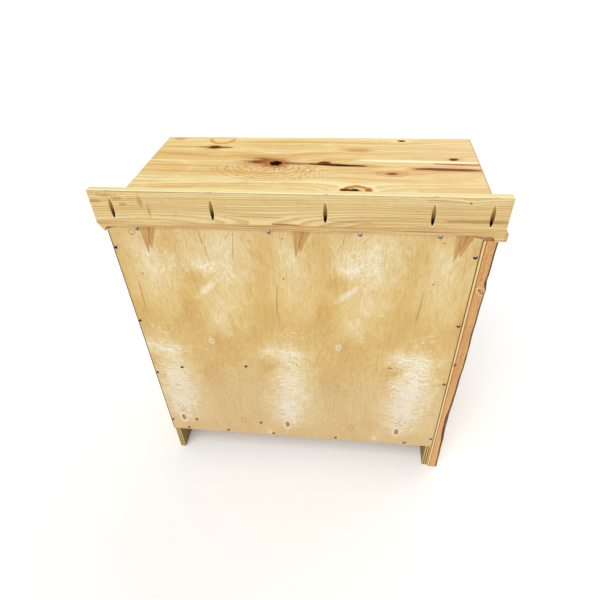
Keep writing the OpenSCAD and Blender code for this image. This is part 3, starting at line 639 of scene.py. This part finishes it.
splashPith = (splashBox[0].z - 0.01, splashBox[0].y - 0.018)
cover(["backsplash"], hickoryFinish("hickory splash", "x", "y", 6, splashPith, splashMarks, **splash))

print("back panel")
panelBox = nodeBox("back_panel")
veneer = {
    "start": 0.03,  # X of a pin knot, where the turns of the log are counted from
    "turn": 0.351,  # length of one turn at the floor
    "growth": 0.0196,  # how much longer it gets with each metre up
    "meanTurn": 0.362,
    "flameTurn": 0.913,
    "flameLength": 0.073,
    "soft": 0.0012,  # how soft a flame's sides are
    "tones": [(0, (188, 138, 74)), (0.24, (214, 172, 104)), (0.47, (227, 194, 130)),
              (0.68, (237, 214, 162)), (0.86, (248, 236, 204)), (1, (253, 248, 230))],
    "clouds": (
        # figure in each turn: turn, Z, width, height, and how much lighter it is (or darker, below 0)
        (0.46, 0.836, 0.094, 0.076, 0.27),
        (0.536, 0.795, 0.026, 0.016, 0.2),
        (0.4, 0.76, 0.042, 0.036, 0.18),
        (0.5, 0.703, 0.054, 0.036, 0.2),
        (0.523, 0.622, 0.042, 0.044, 0.28),
        (0.374, 0.685, 0.034, 0.03, 0.14),
        (0.955, 0.798, 0.058, 0.066, 0.15),
        (0.935, 0.7, 0.06, 0.048, 0.16),
        (0.96, 0.505, 0.06, 0.04, 0.26),
        (0.15, 0.512, 0.036, 0.026, 0.22),
        (0, 0.39, 0.062, 0.08, 0.36),
        (0.03, 0.275, 0.06, 0.085, 0.44),
        (0.058, 0.22, 0.032, 0.05, 0.36),
        (0.65, 0.757, 0.034, 0.038, -0.26),
        (0.745, 0.85, 0.026, 0.06, -0.16),
        (0.13, 0.83, 0.022, 0.07, -0.18),
        (0.707, 0.645, 0.04, 0.06, -0.2),
        (0.172, 0.635, 0.03, 0.075, -0.18),
        (0.427, 0.544, 0.058, 0.036, -0.12),
        (0.681, 0.4, 0.045, 0.09, -0.1),
        (0.175, 0.445, 0.032, 0.026, -0.24),
    ),
    "strays": (
        # light places that are in one turn alone: X and Z, radii, and strength
        ((0.323, 0.785), (0.05, 0.05), 0.16),
        ((-0.318, 0.39), (0.066, 0.12), 0.16),
        ((-0.165, 0.83), (0.06, 0.05), 0.08),
    ),
    "scratches": (
        # X and Z of the upper end and of the lower one, and strength
        ((0.229, 0.898), (0.2236, 0.85), 0.75),
        ((0.2231, 0.8524), (0.2115, 0.8014), 0.45),
        ((0.148, 0.898), (0.1693, 0.8707), 0.6),
        ((0.1443, 0.898), (0.1551, 0.8095), 0.5),
        ((-0.118, 0.898), (-0.112, 0.856), 0.5),
        ((-0.18, 0.896), (-0.158, 0.87), 0.45),
    ),
}


class Log:
    # the panel's points as they lay in the log that its veneer was peeled from
    def __init__(self, web):
        self.web = web
        self.x, _, self.z = web.place()
        length = self.z * veneer["growth"] + veneer["turn"]
        self.turns = (self.x - veneer["start"]) / length
        self.radius = veneer["turn"] / (2 * math.pi)
        east = web.maths("COSINE", self.turns * (2 * math.pi)) * self.radius
        north = web.maths("SINE", self.turns * (2 * math.pi)) * self.radius
        # the figure changes slowly, so each turn shows nearly the same
        slow = self.turns * 0.05
        z = self.z
        self.warp = web.noise(east * 22 + slow, north * 22, z * 13, 4, 0.6) - 0.5
        self.warpUp = web.noise(east * 16, north * 16 + slow + 7, z * 11, 4, 0.6) - 0.5
        up = z * 40 + self.warpUp * 6
        self.curl = web.noise(east * 60 + self.warp * 5, north * 60, up, 5, 0.68)
        self.patch = web.noise(east * 15 + slow, north * 15 + 3, z * 9, 4, 0.6)
        self.swell = web.noise(east * 10 + slow, north * 10, z * 2.6, 3, 0.5)
        self.bentX = self.x + self.warp * 0.04
        self.bentZ = z + self.warpUp * 0.06
        self.torn = (web.noise(self.x * 260, 9, z * 260, 2) - 0.5) * 1.2

    def mark(self, turn, height, wide, high, tilt=0):
        # how far a point is, in radii, from a mark that comes back in each turn
        across = ((self.turns - (turn - 0.5)).fraction() - 0.5) * veneer["meanTurn"]
        return self.web.oval(across, self.z, (0, height), (wide, high), tilt)


def cloudTone(web, log, tone):
    # clouds with feathered edges
    z, warp, warpUp, frilly = log.z, log.warp, log.warpUp, log.curl - 0.5
    bent = log.turns + warp * 0.22 + frilly * 0.12
    high = z + warpUp * 0.1 + frilly * 0.05
    light = 0
    for turn, height, wide, tall, strength in veneer["clouds"]:
        off = web.maths("SINE", (bent - turn) * math.pi) * (veneer["meanTurn"] / math.pi / wide)
        up = (high - height) / tall
        spread = web.maths("EXPONENT", (off * off + up * up) * -1) * strength
        tone = tone + spread
        if strength > 0:
            light = spread + light
    for middle, radii, strength in veneer["strays"]:
        spread = web.oval(log.x + warp * 0.06, high, middle, radii).falloff() * strength
        tone = tone + spread
        light = spread + light
    light = light.least(0.5)
    plumes = web.noise(log.bentX * 60 - z * 26, 4, z * 110 + warpUp * 22, 4, 0.62)
    level = web.noise(log.bentX * 24, 3, z * 300 + warp * 16, 3, 0.62)
    lower = z.rise(0.56, 0.5)
    feather = plumes + (level - plumes) * lower
    return tone + (feather.rise(0.36, 0.64) - 0.5) * light * (0.65 + 0.65 * lower)


def lineTone(web, log, tone):
    # contour lines, mostly upright with hooked ends, and an arch low down in each turn
    curl, z = log.curl, log.z
    lines = (log.swell * 30 + curl * 1.1).fraction().band(0.45, 0.85, 0.9, 1)
    arch = log.mark(0.5, 0.165, 0.05, 0.17)
    nested = (arch * 6.5 + (curl - 0.5) * 1.6).fraction().band(0.55, 0.8, 0.88, 1)
    nested = nested * arch.rise(1.9, 1.2) * arch.rise(0.25, 0.5)
    grain = web.noise(log.x * 900, 5, z * 60, 2)
    tone = tone - lines * 0.09 - nested * 0.1 + (grain - 0.5) * 0.08
    # curled wisps over the pale columns
    blaze = log.mark(0.572, 0.722, 0.01, 0.02, -0.9) + (curl - 0.5) * 3.6
    tone = tone + blaze.rise(1.9, 0.4) * 0.26
    wisps = web.noise(log.bentX * 52 + 3, 1, z * 150 + log.warpUp * 14, 3, 0.6)
    wisps = wisps.rise(0.55, 0.64) * log.mark(0.985, 0.57, 0.046, 0.034).falloff()
    return tone + wisps * 0.42, lines


def flameMarks(web, log):
    # brown flames hang from the upper edge, each with a long tooth and a short one
    x, z, soft = log.x, log.z, veneer["soft"]
    turned = (log.turns - veneer["flameTurn"]) * (2 * math.pi)
    aside = web.maths("SINE", turned) * log.radius
    facingHalf = web.maths("COSINE", turned).rise(0.3, 0.5)
    spikes = web.noise(x * 160, 6, z * 16, 4, 0.6)
    drop = (panelBox[1].z - z) / veneer["flameLength"] + (spikes - 0.5) * 0.4
    right = aside + (1 - drop) * 0.018
    tooth = (aside - (1 - drop) * 0.007).rise(soft, -soft) * right.rise(-soft, soft)
    tooth = tooth * drop.rise(1, 0.94)
    short = (aside + 0.01 - (0.8 - drop) * 0.01).rise(soft, -soft)
    short = short * (aside + 0.012 + (0.8 - drop) * 0.026).rise(-soft, soft)
    short = short * drop.rise(0.8, 0.74)
    flame = tooth.most(short) * facingHalf
    inFlame = web.noise(x * 210, 4, z * 22, 4, 0.6)
    web.lay(flame * 0.78, web.ramp(inFlame, [(0.3, (168, 112, 54)), (0.65, (212, 164, 96))]))
    web.lay(abs(right).rise(0.0026, 0.0006) * flame * 0.6, (184, 108, 44))


def turnMarks(web, log):
    # knots and small marks that come back in each turn
    torn = log.torn
    low = log.mark(0.06, 0.1785, 0.006, 0.0125) + torn * 0.5
    web.lay(low.rise(2.8, 1.2) * 0.45, (255, 246, 218))
    web.lay(low.rise(1.15, 0.9) * 0.85, (192, 142, 80))
    web.lay(abs(low - 0.92).rise(0.3, 0.1) * 0.8, (134, 84, 38))
    web.lay(abs(low - 0.3).rise(0.18, 0.05) * 0.45, (150, 98, 46))
    curls = web.noise(log.bentX * 130, 7, log.z * 130 + log.warpUp * 8, 3, 0.6)
    curls = curls.rise(0.52, 0.58) * log.mark(0.05, 0.228, 0.017, 0.026).falloff()
    web.lay(curls * abs(log.x).rise(0.15, 0.25) * 0.9, (180, 98, 62))
    ring = abs(log.mark(0.475, 0.185, 0.0095, 0.015) + torn * 0.3 - 0.8)
    web.lay(ring.rise(0.5, 0.15) * 0.5, (214, 150, 66))
    pin = log.mark(0.005, 0.765, 0.0016, 0.0028)
    web.lay(pin.rise(1.6, 0.7) * 0.8, (124, 82, 44))
    dash = log.mark(-0.006, 0.879, 0.003, 0.0016) + torn * 0.5
    web.lay(dash.rise(1.4, 0.7) * 0.75, (134, 84, 40))
    squiggle = abs(web.oval(log.x, log.z, (0.3946, 0.886), (0.01, 0.0075)) + torn * 0.9 - 0.8)
    web.lay(squiggle.rise(0.24, 0.08) * 0.4, (160, 108, 54))


def panelScars(web, log):
    # scratches, and nails that each sit in a torn pale spot
    x, z, torn = log.x, log.z, log.torn
    for top, foot, strength in veneer["scratches"]:
        middle = ((top[0] + foot[0]) / 2, (top[1] + foot[1]) / 2)
        lean = (top[0] - foot[0]) / (top[1] - foot[1])
        reach = web.oval(x, z, middle, (0.0013, (top[1] - foot[1]) / 2), lean)
        web.lay(reach.rise(1.15, 0.7) * strength, (170, 118, 62))
    nail = log.mark(0.614, 0.5395, 0.0017, 0.0026)
    for middle in ((0.1131, 0.1324), (-0.2342, 0.1365)):
        nail = nail.least(web.oval(x, z, middle, (0.0017, 0.0022)))
    web.lay((nail + torn * 9).rise(7, 1) * 0.6, (255, 249, 228))
    web.lay(nail.rise(1.3, 0.8) * 0.9, (60, 44, 28))
    speck = web.oval(x, z, (0.3498, 0.2677), (0.0032, 0.0048)) + torn * 0.3
    web.lay(speck.rise(1.3, 0.7) * 0.8, (255, 253, 240))
    eye = web.oval(x, z, (-0.2571, 0.4691), (0.0075, 0.0036)) + torn * 0.3
    web.lay(abs(eye - 0.6).rise(0.55, 0.15) * 0.9, (172, 92, 30))


def panelEdges(web, x):
    # painted shade darkens the long edges, at high X for the side face in shadow and at low X for the gap
    # beside the slab; the cuts show raw wood
    side = x.rise(panelBox[1].x - 3.6 * mm, panelBox[1].x - 2.2 * mm)
    web.lay(side * 0.9, (112, 74, 38))
    side = x.rise(panelBox[0].x + 1.3 * mm, panelBox[0].x + 0.6 * mm)
    web.lay(side * 0.55, (126, 88, 48))
    web.lay(abs(web.normal()[1]).rise(0.8, 0.6), (255, 247, 222))


def panelFinish():
    web = Finish("rotary cut back", roughness=0.55, shine=0.25)
    log = Log(web)
    x, z = log.x, log.z
    strokes = web.noise(log.bentX * 240, 2, log.bentZ * 44, 4, 0.65)
    fibre = web.noise(x * 430 + log.warp * 2, 2, z * 6, 3, 0.6)
    tone = 0.47 + (log.patch - 0.5) * 0.42 + (log.curl - 0.5) * 0.3
    tone = tone + (strokes - 0.5) * 0.22 + (fibre - 0.5) * 0.3
    tone = cloudTone(web, log, tone)
    tone, lines = lineTone(web, log, tone)
    web.colour = web.ramp(tone, veneer["tones"])
    web.lay(z.rise(0.5, 0.3) * 0.32, (222, 196, 158))
    amber = web.oval(x, z, (0, 0.685), (0.9, 0.1)).falloff()
    web.lay(amber * 0.24, (236, 198, 106))
    # fine checks in the lathe's tight side, flecks and one long crack
    checks = web.noise(x * 330, 1, z * 9, 2).rise(0.62, 0.7)
    web.lay(checks * 0.3, (176, 124, 62))
    flecks = web.noise(x * 150, 8, z * 130, 1).rise(0.745, 0.775)
    web.lay(flecks * 0.5, (150, 100, 50))
    flameMarks(web, log)
    turnMarks(web, log)
    crack = log.mark(0.063, 0.694, 0.0013, 0.052, -0.062).rise(1.15, 0.75)
    web.lay(crack * 0.65, (158, 100, 44))
    panelScars(web, log)
    panelEdges(web, x)
    web.set("Base Color", web.colour)
    web.set("Roughness", 0.5 + 0.2 * fibre)
    web.relief(fibre * 0.5 - checks * 0.6 - crack * 0.5 + lines * 0.2, 0.25 * mm, 0.6)
    return web


cover(["back_panel"], panelFinish())

print("end slab")
slabBox = nodeBox("end_slab")
slab = {
    "rows": 222,
    "waneLeast": 4.6 * mm,
    "waneSwell": 9 * mm,
    "waneBack": 0.24,  # height at which the back arris is widest, and the front one
    "waneFront": 0.56,
    "waneLength": 0.14,
    "waneSlope": 1.7,
    "stub": (0.752, 0.0105, 3.2 * mm),  # height, half height and reach of the branch stub
    "rough": 1.3 * mm,  # how far the bark's ridges differ
    "tone": 0.62,
    "contrast": 1.2,
    "ringWidth": 9 * mm,
    "taper": 1.6,
    "drift": 0.06,
    "knots": (
        dict(at=(0.655, -0.055), size=(0.024, 0.013), reach=(0.09, 0.055), rings=5, ragged=1),
        dict(at=(0.262, 0.118), size=(0.016, 0.009), reach=(0.07, 0.045), rings=4, halo=0.8),
        dict(at=(0.47, 0.06), size=(0.008, 0.004), reach=(0.04, 0.025), rings=2),
        dict(at=(0.12, -0.13), size=(0.012, 0.006), reach=(0.05, 0.03), rings=2.5, core=0.5),
    ),
}


def waneWidth(z, at, rear):
    swell = slab["waneSwell"] * math.exp(-((z - at) / slab["waneLength"]) ** 2)
    ripple = 0.9 * mm * math.sin(math.radians(1900 * z)) + 0.6 * mm * math.sin(math.radians(4300 * z))
    width = slab["waneLeast"] + swell + ripple
    if rear:
        height, half, reach = slab["stub"]
        width -= reach * math.exp(-((z - height) / half) ** 2)
        width += 1.8 * mm * math.exp(-((z - height - 0.024) / 0.01) ** 2)
    return max(width, 0.5 * mm)


def slabRing(z):
    # points round the slab at one height, each with its distance from the bark, below 0 on it
    low, high = slabBox
    slope = slab["waneSlope"]
    ring = []
    rearWane = waneWidth(z, slab["waneBack"], True)
    frontWane = waneWidth(z, slab["waneFront"], False)

    def face(start, end, steps, distance):
        for step in range(steps):
            share = step / steps
            x = start[0] + (end[0] - start[0]) * share
            y = start[1] + (end[1] - start[1]) * share
            ring.append((x, y, distance(x, y)))

    def bark(start, middle, end, steps, sign):
        for step in range(steps):
            share = step / steps
            first, second, third = (1 - share) ** 2, 2 * share * (1 - share), share * share
            x = first * start[0] + second * middle[0] + third * end[0]
            y = first * start[1] + second * middle[1] + third * end[1]
            bulge = math.sin(math.pi * share)
            spot = Vector((x * 55, y * 55, z * 22))
            rough = noise.fractal(spot, 0.6, 2.2, 4) * slab["rough"] * bulge ** 0.5
            x = max(x - abs(rough) * 0.7 + 0.4 * mm, low.x)
            y = min(max(y + sign * rough * 0.7, low.y), high.y)
            ring.append((x, y, -bulge * 3 * mm))

    backStart = (low.x + rearWane, high.y)
    backEnd = (low.x, high.y - rearWane * slope)
    backTurn = (low.x + rearWane * 0.1, high.y - rearWane * slope * 0.4)
    frontStart = (low.x, low.y + frontWane * slope)
    frontEnd = (low.x + frontWane, low.y)
    frontTurn = (low.x + frontWane * 0.1, low.y + frontWane * slope * 0.4)
    face((high.x, low.y), (high.x, high.y), 2, lambda x, y: 0.03)
    face((high.x, high.y), backStart, 10, lambda x, y: x - backStart[0])
    bark(backStart, backTurn, backEnd, 8, 1)
    face(backEnd, frontStart, 30, lambda x, y: min(backEnd[1] - y, y - frontStart[1]))
    bark(frontStart, frontTurn, frontEnd, 8, -1)
    face(frontEnd, (high.x, low.y), 8, lambda x, y: x - frontEnd[0])
    return ring


def makeSlab():
    low, high = slabBox
    mesh = bmesh.new()
    barkward = mesh.verts.layers.float.new("barkward")
    rows = []
    for step in range(slab["rows"] + 1):
        z = low.z + (high.z - low.z) * step / slab["rows"]
        row = []
        for x, y, distance in slabRing(z):
            vert = mesh.verts.new((x, y, z))
            vert[barkward] = distance
            row.append(vert)
        rows.append(row)
    count = len(rows[0])
    for lower, upper in zip(rows, rows[1:]):
        for here in range(count):
            after = (here + 1) % count
            side = mesh.faces.new((lower[here], upper[here], upper[after], lower[after]))
            side.smooth = lower[here][barkward] <= 0 and lower[after][barkward] <= 0
    mesh.faces.new(rows[0])
    mesh.faces.new(reversed(rows[-1]))
    bmesh.ops.recalc_face_normals(mesh, faces=mesh.faces)
    data = bpy.data.meshes.new("live_edge_slab")
    mesh.to_mesh(data)
    mesh.free()
    piece = bpy.data.objects.new("live_edge_slab", data)
    scene.collection.objects.link(piece)
    return piece


def rearMarks(web, spot, rear):
    # warm heartwood on the sawn rear edge
    x, y, z = spot
    mottle = web.noise(x * 260, y * 90, z * 90, 4, 0.7)
    streaky = web.noise(x * 190, 2, z * 7, 3, 0.6)
    warm = web.ramp(mottle * 0.55 + streaky * 0.45, [
        (0.36, (194, 128, 72)), (0.5, (222, 166, 104)), (0.64, (240, 192, 130))])
    rosy = abs(z - 0.61).rise(0.05, 0.01) + abs(z - 0.46).rise(0.05, 0.01)
    warm = web.blend(rosy * 0.3, warm, (206, 134, 86))
    warm = web.blend(z.rise(0.46, 0.34) * 0.4, warm, (246, 190, 130))
    web.lay(rear * 0.9, warm)
    pepper = web.noise(x * 520, 1, z * 230, 2).rise(0.6, 0.68)
    web.lay(rear * pepper * 0.5, (150, 82, 44))
    # a veneer line runs down beside the panel, between a dark glue line on the slab's side and a line of
    # painted shade for the gap on the panel's side
    inner = slabBox[1].x - x
    web.lay(rear * inner.rise(5.6 * mm, 4.8 * mm), (246, 218, 154))
    glue = abs(inner - 6.2 * mm).rise(1.5 * mm, 0.7 * mm) + inner.rise(1.1 * mm, 0.6 * mm)
    web.lay(rear * glue * 0.7, (112, 66, 30))
    # a split branch stub, and a small knot lower down
    torn = (web.noise(x * 300, 5, z * 300, 3) - 0.5) * 1.2
    stub = web.oval(x, z, (-0.448, 0.749), (0.006, 0.0078), 0.45) + torn * 0.4
    web.lay(rear * stub.rise(2.3, 1.1) * 0.85, (246, 206, 146))
    web.lay(rear * abs(stub - 0.85).rise(0.28, 0.1) * 0.85, (128, 72, 36))
    split = web.oval(x, z, (-0.4465, 0.75), (0.0016, 0.0062), 0.9)
    web.lay(rear * split.rise(1.2, 0.6), (36, 20, 12))
    dark = web.oval(x, z, (-0.4325, 0.4965), (0.003, 0.0048))
    web.lay(rear * dark.rise(3, 1) * 0.5, (186, 112, 70))
    web.lay(rear * dark.rise(1.2, 0.6) * 0.9, (72, 34, 22))


def slabMarks(web, spot, normal):
    x, y, z = spot
    rearMarks(web, spot, normal[1].rise(0.6, 0.9))
    # pale sapwood beside the bark, then the bark itself
    barkward = web.add("ShaderNodeAttribute", {"attribute_name": "barkward"}, None, "Fac")
    frayed = (web.noise(x * 90, y * 90, z * 26, 3) - 0.5) * 3 * mm
    web.lay((barkward + frayed).rise(3.6 * mm, 1.8 * mm) * 0.8, (250, 214, 140))
    web.lay((barkward + frayed * 0.3).rise(2.6 * mm, 1.5 * mm) * 0.85, (122, 66, 38))
    flaky = web.noise(x * 130, y * 130, z * 40, 5, 0.7)
    stops = [(0.32, (44, 20, 10)), (0.5, (92, 46, 24)), (0.66, (144, 88, 48))]
    web.lay(barkward.rise(0.2 * mm, -0.3 * mm), web.ramp(flaky, stops))


slabPiece = makeSlab()
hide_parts("end_slab")
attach(slabPiece, "case")
slabPith = (0.02, slabBox[1].x + 0.055)
slabFinish = hickoryFinish("hickory slab", "z", "x", 11, slabPith, slabMarks, **slab)
slabPiece.data.materials.append(slabFinish.material)

print("plywood")
plywood = {
    "face": (230, 200, 142),
    "faceDark": (208, 168, 108),
    "line": (188, 140, 82),
    "fibre": (186, 138, 80),
    "long": (252, 226, 152),  # plies that run along the cut edge, and those that end in it
    "end": (162, 120, 54),
    "speckle": (156, 108, 54),
    "glue": (84, 54, 24),
    "footShade": (146, 128, 78),  # painted shade on the feet's inner faces
    "footShadeHeight": 0.12,
    "plies": 5,
}


def plyFinish(name, grain, axis, low, thickness, seed, footShade=False):
    # axis is the one that runs through the sheet, and low is where the sheet starts on it
    web = Finish(name, shine=0.22)
    spot = web.place()
    through = axisOf[axis]
    outward = web.normal()[through]
    along = spot[axisOf[grain]]
    across = spot[3 - axisOf[grain] - through]
    # the face
    fibre = web.noise(along * 6 + seed, across * 420, seed, 3, 0.6)
    figure = web.noise(along * 2 + seed, across * 11, seed, 3, 0.55)
    lines = (figure * 16 + fibre * 0.3).fraction().band(0.3, 0.85, 0.9, 1)
    web.colour = web.blend(figure.rise(0.35, 0.7), plywood["face"], plywood["faceDark"])
    web.lay(lines * 0.3, plywood["line"])
    web.lay(fibre.rise(0.5, 0.8) * 0.35, plywood["fibre"])
    # the plies and glue lines of the cut edges
    layer = (spot[through] - low) / thickness * plywood["plies"]
    step = layer.fraction()
    odd = (layer * 0.5).fraction().rise(0.49, 0.51)
    glue = step.rise(0.2, 0.08).most(step.rise(0.8, 0.92))
    speckle = web.noise(along * 500, across * 500, layer * 3, 2)
    core = web.blend(odd, plywood["long"], plywood["end"])
    core = web.blend(speckle.rise(0.42, 0.62) * 0.5, core, plywood["speckle"])
    core = web.blend(glue * 0.9, core, plywood["glue"])
    edge = abs(outward).rise(0.8, 0.6)
    web.lay(edge, core)
    # painted shade on the inner faces of the feet, up to a ragged line
    if footShade:
        shadeFray = web.noise(along * 14, across * 14, seed, 3)
        height = plywood["footShadeHeight"]
        foot = (spot[2] + (shadeFray - 0.5) * 0.03).rise(height + 0.008, height - 0.008)
        inside = (outward * (-1 if low > 0 else 1)).rise(0.5, 0.9)
        web.lay(foot * inside * 0.92, plywood["footShade"])
    web.set("Base Color", web.colour)
    web.set("Roughness", 0.52 + 0.18 * fibre)
    web.relief(fibre * 0.4 - glue * edge * 0.9, 0.25 * mm, 0.7)
    return web


plySheets = (
    # node, axis that its face grain follows, axis through it
    ("side_panel_right", "z", "x"), ("side_panel_left", "z", "x"), ("bottom_panel", "x", "z"),
    ("partition", "z", "x"), ("stretcher_front", "x", "z"), ("stretcher_rear", "x", "z"),
    ("bay_rails_rear", "x", "y"), ("toe_board", "x", "y"), ("shelf", "x", "z"),
    ("drawer_upper_bottom", "x", "z"), ("drawer_middle_bottom", "x", "z"), ("drawer_lower_bottom", "x", "z"),
    ("slide_packers", "y", "x"),
)
for number, (name, grain, axis) in enumerate(plySheets):
    low, high = nodeBox(name)
    through = axisOf[axis]
    sheet = plyFinish("plywood " + name.replace("_", " "), grain, axis, low[through],
                      high[through] - low[through], number + 1, name.startswith("side_panel"))
    cover([name], sheet)

print("front")
frontBoards = (
    # node, grain, seed, number of knots, tone, and the joints between its boards
    ("frame_stile_left", "z", 21, 1, 0.52, ()),
    ("frame_stile_right", "z", 22, 2, 0.42, ()),
    ("frame_stile_middle", "z", 23, 1, 0.6, ()),
    ("frame_top_rail", "x", 24, 1, 0.46, ()),
    ("frame_bottom_rail", "x", 25, 1, 0.58, ()),
    ("frame_drawer_rails", "x", 26, 0, 0.5, (("z", 0.56),)),
    ("door_left_stiles", "z", 27, 2, 0.48, (("x", -0.25),)),
    ("door_left_rails", "x", 28, 1, 0.62, (("z", 0.5),)),
    ("door_left_panel", "z", 29, 3, 0.42, (("x", -0.29), ("x", -0.215))),
    ("door_right_stiles", "z", 30, 2, 0.58, (("x", -0.005),)),
    ("door_right_rails", "x", 31, 1, 0.46, (("z", 0.5),)),
    ("door_right_panel", "z", 32, 3, 0.54, (("x", -0.03), ("x", 0.042))),
    ("drawer_upper_front", "x", 33, 1, 0.44, ()),
    ("drawer_middle_front", "x", 34, 1, 0.66, ()),
    ("drawer_lower_front", "x", 35, 2, 0.5, (("z", 0.3),)),
)


def knotsOn(box, grain, count, chance):
    # a few knots at seeded places on a board's face
    low, high = box
    axes = (0, 2) if grain == "x" else (2, 0)
    knots = []
    for _ in range(count):
        at = tuple(low[axis] + (high[axis] - low[axis]) * chance.uniform(0.12, 0.88) for axis in axes)
        size = chance.uniform(3.5, 9) * mm
        knots.append(dict(at=at, size=(size * 1.7, size), reach=(size * 7, size * 5),
                          rings=chance.uniform(2, 5), core=chance.choice((0.35, 0.95, 0.95)),
                          halo=chance.uniform(0.5, 0.9), ragged=chance.uniform(0.6, 1.2)))
    return knots


for name, grain, seed, count, tone, joints in frontBoards:
    chance = random.Random(seed)
    box = nodeBox(name)
    across = 2 if grain == "x" else 0
    pith = (chance.uniform(box[0][across], box[1][across]), box[1].y + chance.uniform(0.03, 0.07))
    wood = hickoryFinish("hickory " + name.replace("_", " "), grain, "y", seed, pith, None, box,
                         knots=knotsOn(box, grain, count, chance), joints=joints, tone=tone,
                         contrast=1.2, ringWidth=chance.uniform(5, 9) * mm, edges=2.2 * mm)
    cover([name], wood)

print("drawer boxes")
boxWood = {
    "cream": (240, 222, 182),
    "straw": (230, 206, 158),
    "tan": (216, 184, 132),
    "heart": (196, 158, 106),
}
for name, seed in (("drawer_upper_box", 41), ("drawer_middle_box", 42), ("drawer_lower_box", 43)):
    low, high = nodeBox(name)
    boards = (("y", low.y + 12.5 * mm), ("y", high.y - 12.5 * mm), ("x", (low.x + high.x) / 2))
    wood = hickoryFinish("pale box " + name.replace("_", " "), "y", "x", seed, (low.z + 0.05, low.x - 0.08),
                         joints=boards, tone=0.4, contrast=0.55, **boxWood)
    cover([name], wood)

print("metal")


def metalFinish(name, colour, worn, roughness, metallic, wear, brushed):
    # wear is the share that is rubbed bright; the lower brushed is, the longer the scratches run in X
    web = Finish(name, metallic=metallic)
    x, y, z = web.place()
    normal = web.normal()
    patches = web.noise(x * 150, y * 150, z * 150, 4, 0.6)
    scratches = web.noise(x * 80 * brushed, y * 900, z * 900, 3, 0.6)
    mask = patches.rise(0.66 - wear * 0.2, 0.72)
    upper = (normal[2] + (patches - 0.5)).rise(0.45, 0.9) * wear
    web.set("Base Color", web.blend(mask.most(upper), colour, worn))
    web.set("Roughness", roughness + 0.2 * (scratches - 0.5) + 0.12 * (patches - 0.5))
    web.relief(scratches * 0.4 + patches * 0.6, 0.08 * mm, 0.5)
    return web


metals = (
    # name, colour, worn colour, roughness, metallic, wear, brushing, and the nodes
    ("oil rubbed iron", (40, 35, 32), (118, 84, 56), 0.4, 0.7, 0.35, 1,
     ("hinge_frame_leaves", "hinge_pins", "door_*_knob", "door_*_hinge_leaves", "drawer_*_pull")),
    ("bright zinc", (190, 192, 194), (150, 150, 146), 0.3, 0.95, 0.5, 1,
     ("end_slab_screws", "countertop_screws", "shelf_pins")),
    ("zinc plated sheet", (184, 188, 194), (150, 152, 154), 0.34, 0.9, 0.4, 0.2,
     ("door_catch", "slide_case_members", "runner_*", "door_*_strike", "drawer_*_slide_members")),
)
for *values, patterns in metals:
    cover([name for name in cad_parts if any(fnmatch(name, like) for like in patterns)],
          metalFinish(*values))


def screwFinish():
    # black domes with a painted glint on their upper sides; the upper row was never blacked
    web = Finish("black screws", shine=0.15)
    x, y, z = web.place()
    normal = web.normal()
    rough = web.noise(x * 900, y * 900, z * 900, 2)
    up = normal[2] * 0.75 + normal[1] * 0.45 + normal[0] * 0.2 + (rough - 0.5) * 0.4
    glint = up.rise(0.6, 0.82)
    black = web.blend(glint * 0.85, (34, 30, 22), (206, 204, 200))
    silver = web.blend(glint, (120, 118, 110), (240, 240, 232))
    bare = z.rise(0.88, 0.884)
    web.set("Base Color", web.blend(bare, black, silver))
    web.set("Roughness", 0.55 - bare * 0.2 + 0.15 * rough)
    return web


cover(["back_panel_screws"], screwFinish())


def sunkFinish():
    # heads down in the pockets, painted dark as the shade in there
    web = Finish("shaded pocket screws", shine=0.2)
    x, y, z = web.place()
    shadeMottle = web.noise(x * 700, y * 700, z * 700, 3)
    web.set("Base Color", web.ramp(shadeMottle, [(0.35, (26, 20, 14)), (0.65, (64, 52, 38))]))
    web.set("Roughness", 0.7 + 0.2 * shadeMottle)
    return web


cover(["backsplash_screws"], sunkFinish())

print("room")
room = {
    "floorSize": 80,
    "floorColour": (243, 243, 242),
    "floorLift": 0.16,  # how much nearer to white the camera sees the floor
    "skyStrength": 0.5,
    "lamps": (
        # name, where it shines from, strength, and angle that softens its shadow
        ("key", (0.55, 1.15, 1.85), 1.45, 38),
        ("fill", (-0.7, -1.4, 1.05), 0.9, 60),
    ),
}


def makeFloor(how):
    half = how["floorSize"] / 2
    mesh = bpy.data.meshes.new("floor")
    corners = [(-half, -half, 0), (half, -half, 0), (half, half, 0), (-half, half, 0)]
    mesh.from_pydata(corners, [], [(0, 1, 2, 3)])
    floor = bpy.data.objects.new("floor", mesh)
    scene.collection.objects.link(floor)
    web = Finish("floor", roughness=0.9)
    web.set("Base Color", how["floorColour"])
    lift = how["floorLift"]
    web.set("Emission Color", web.blend(web.seen(), (0, 0, 0, 1), (lift, lift, lift, 1)))
    web.set("Emission Strength", 1)
    mesh.materials.append(web.material)


def makeLamp(name, source, strength, softness):
    data = bpy.data.lights.new(name, "SUN")
    data.energy = strength
    data.angle = math.radians(softness)
    lamp = bpy.data.objects.new(name, data)
    lamp.location = source
    lamp.rotation_mode = "QUATERNION"
    lamp.rotation_quaternion = Vector(source).to_track_quat("Z", "Y")
    scene.collection.objects.link(lamp)


def makeSky(strength):
    # the camera and the reflections see white; everything else gets the plain level
    world = bpy.data.worlds.new("studio")
    world.use_nodes = True
    web = Web(world.node_tree)
    ground = world.node_tree.nodes["Background"]
    web.plug(ground.inputs["Strength"], web.seen() * (1 - strength) + strength)
    web.plug(ground.inputs["Color"], (1, 1, 1, 1))
    scene.world = world


makeFloor(room)
for lamp in room["lamps"]:
    makeLamp(*lamp)
makeSky(room["skyStrength"])
scene.view_settings.view_transform = "Standard"
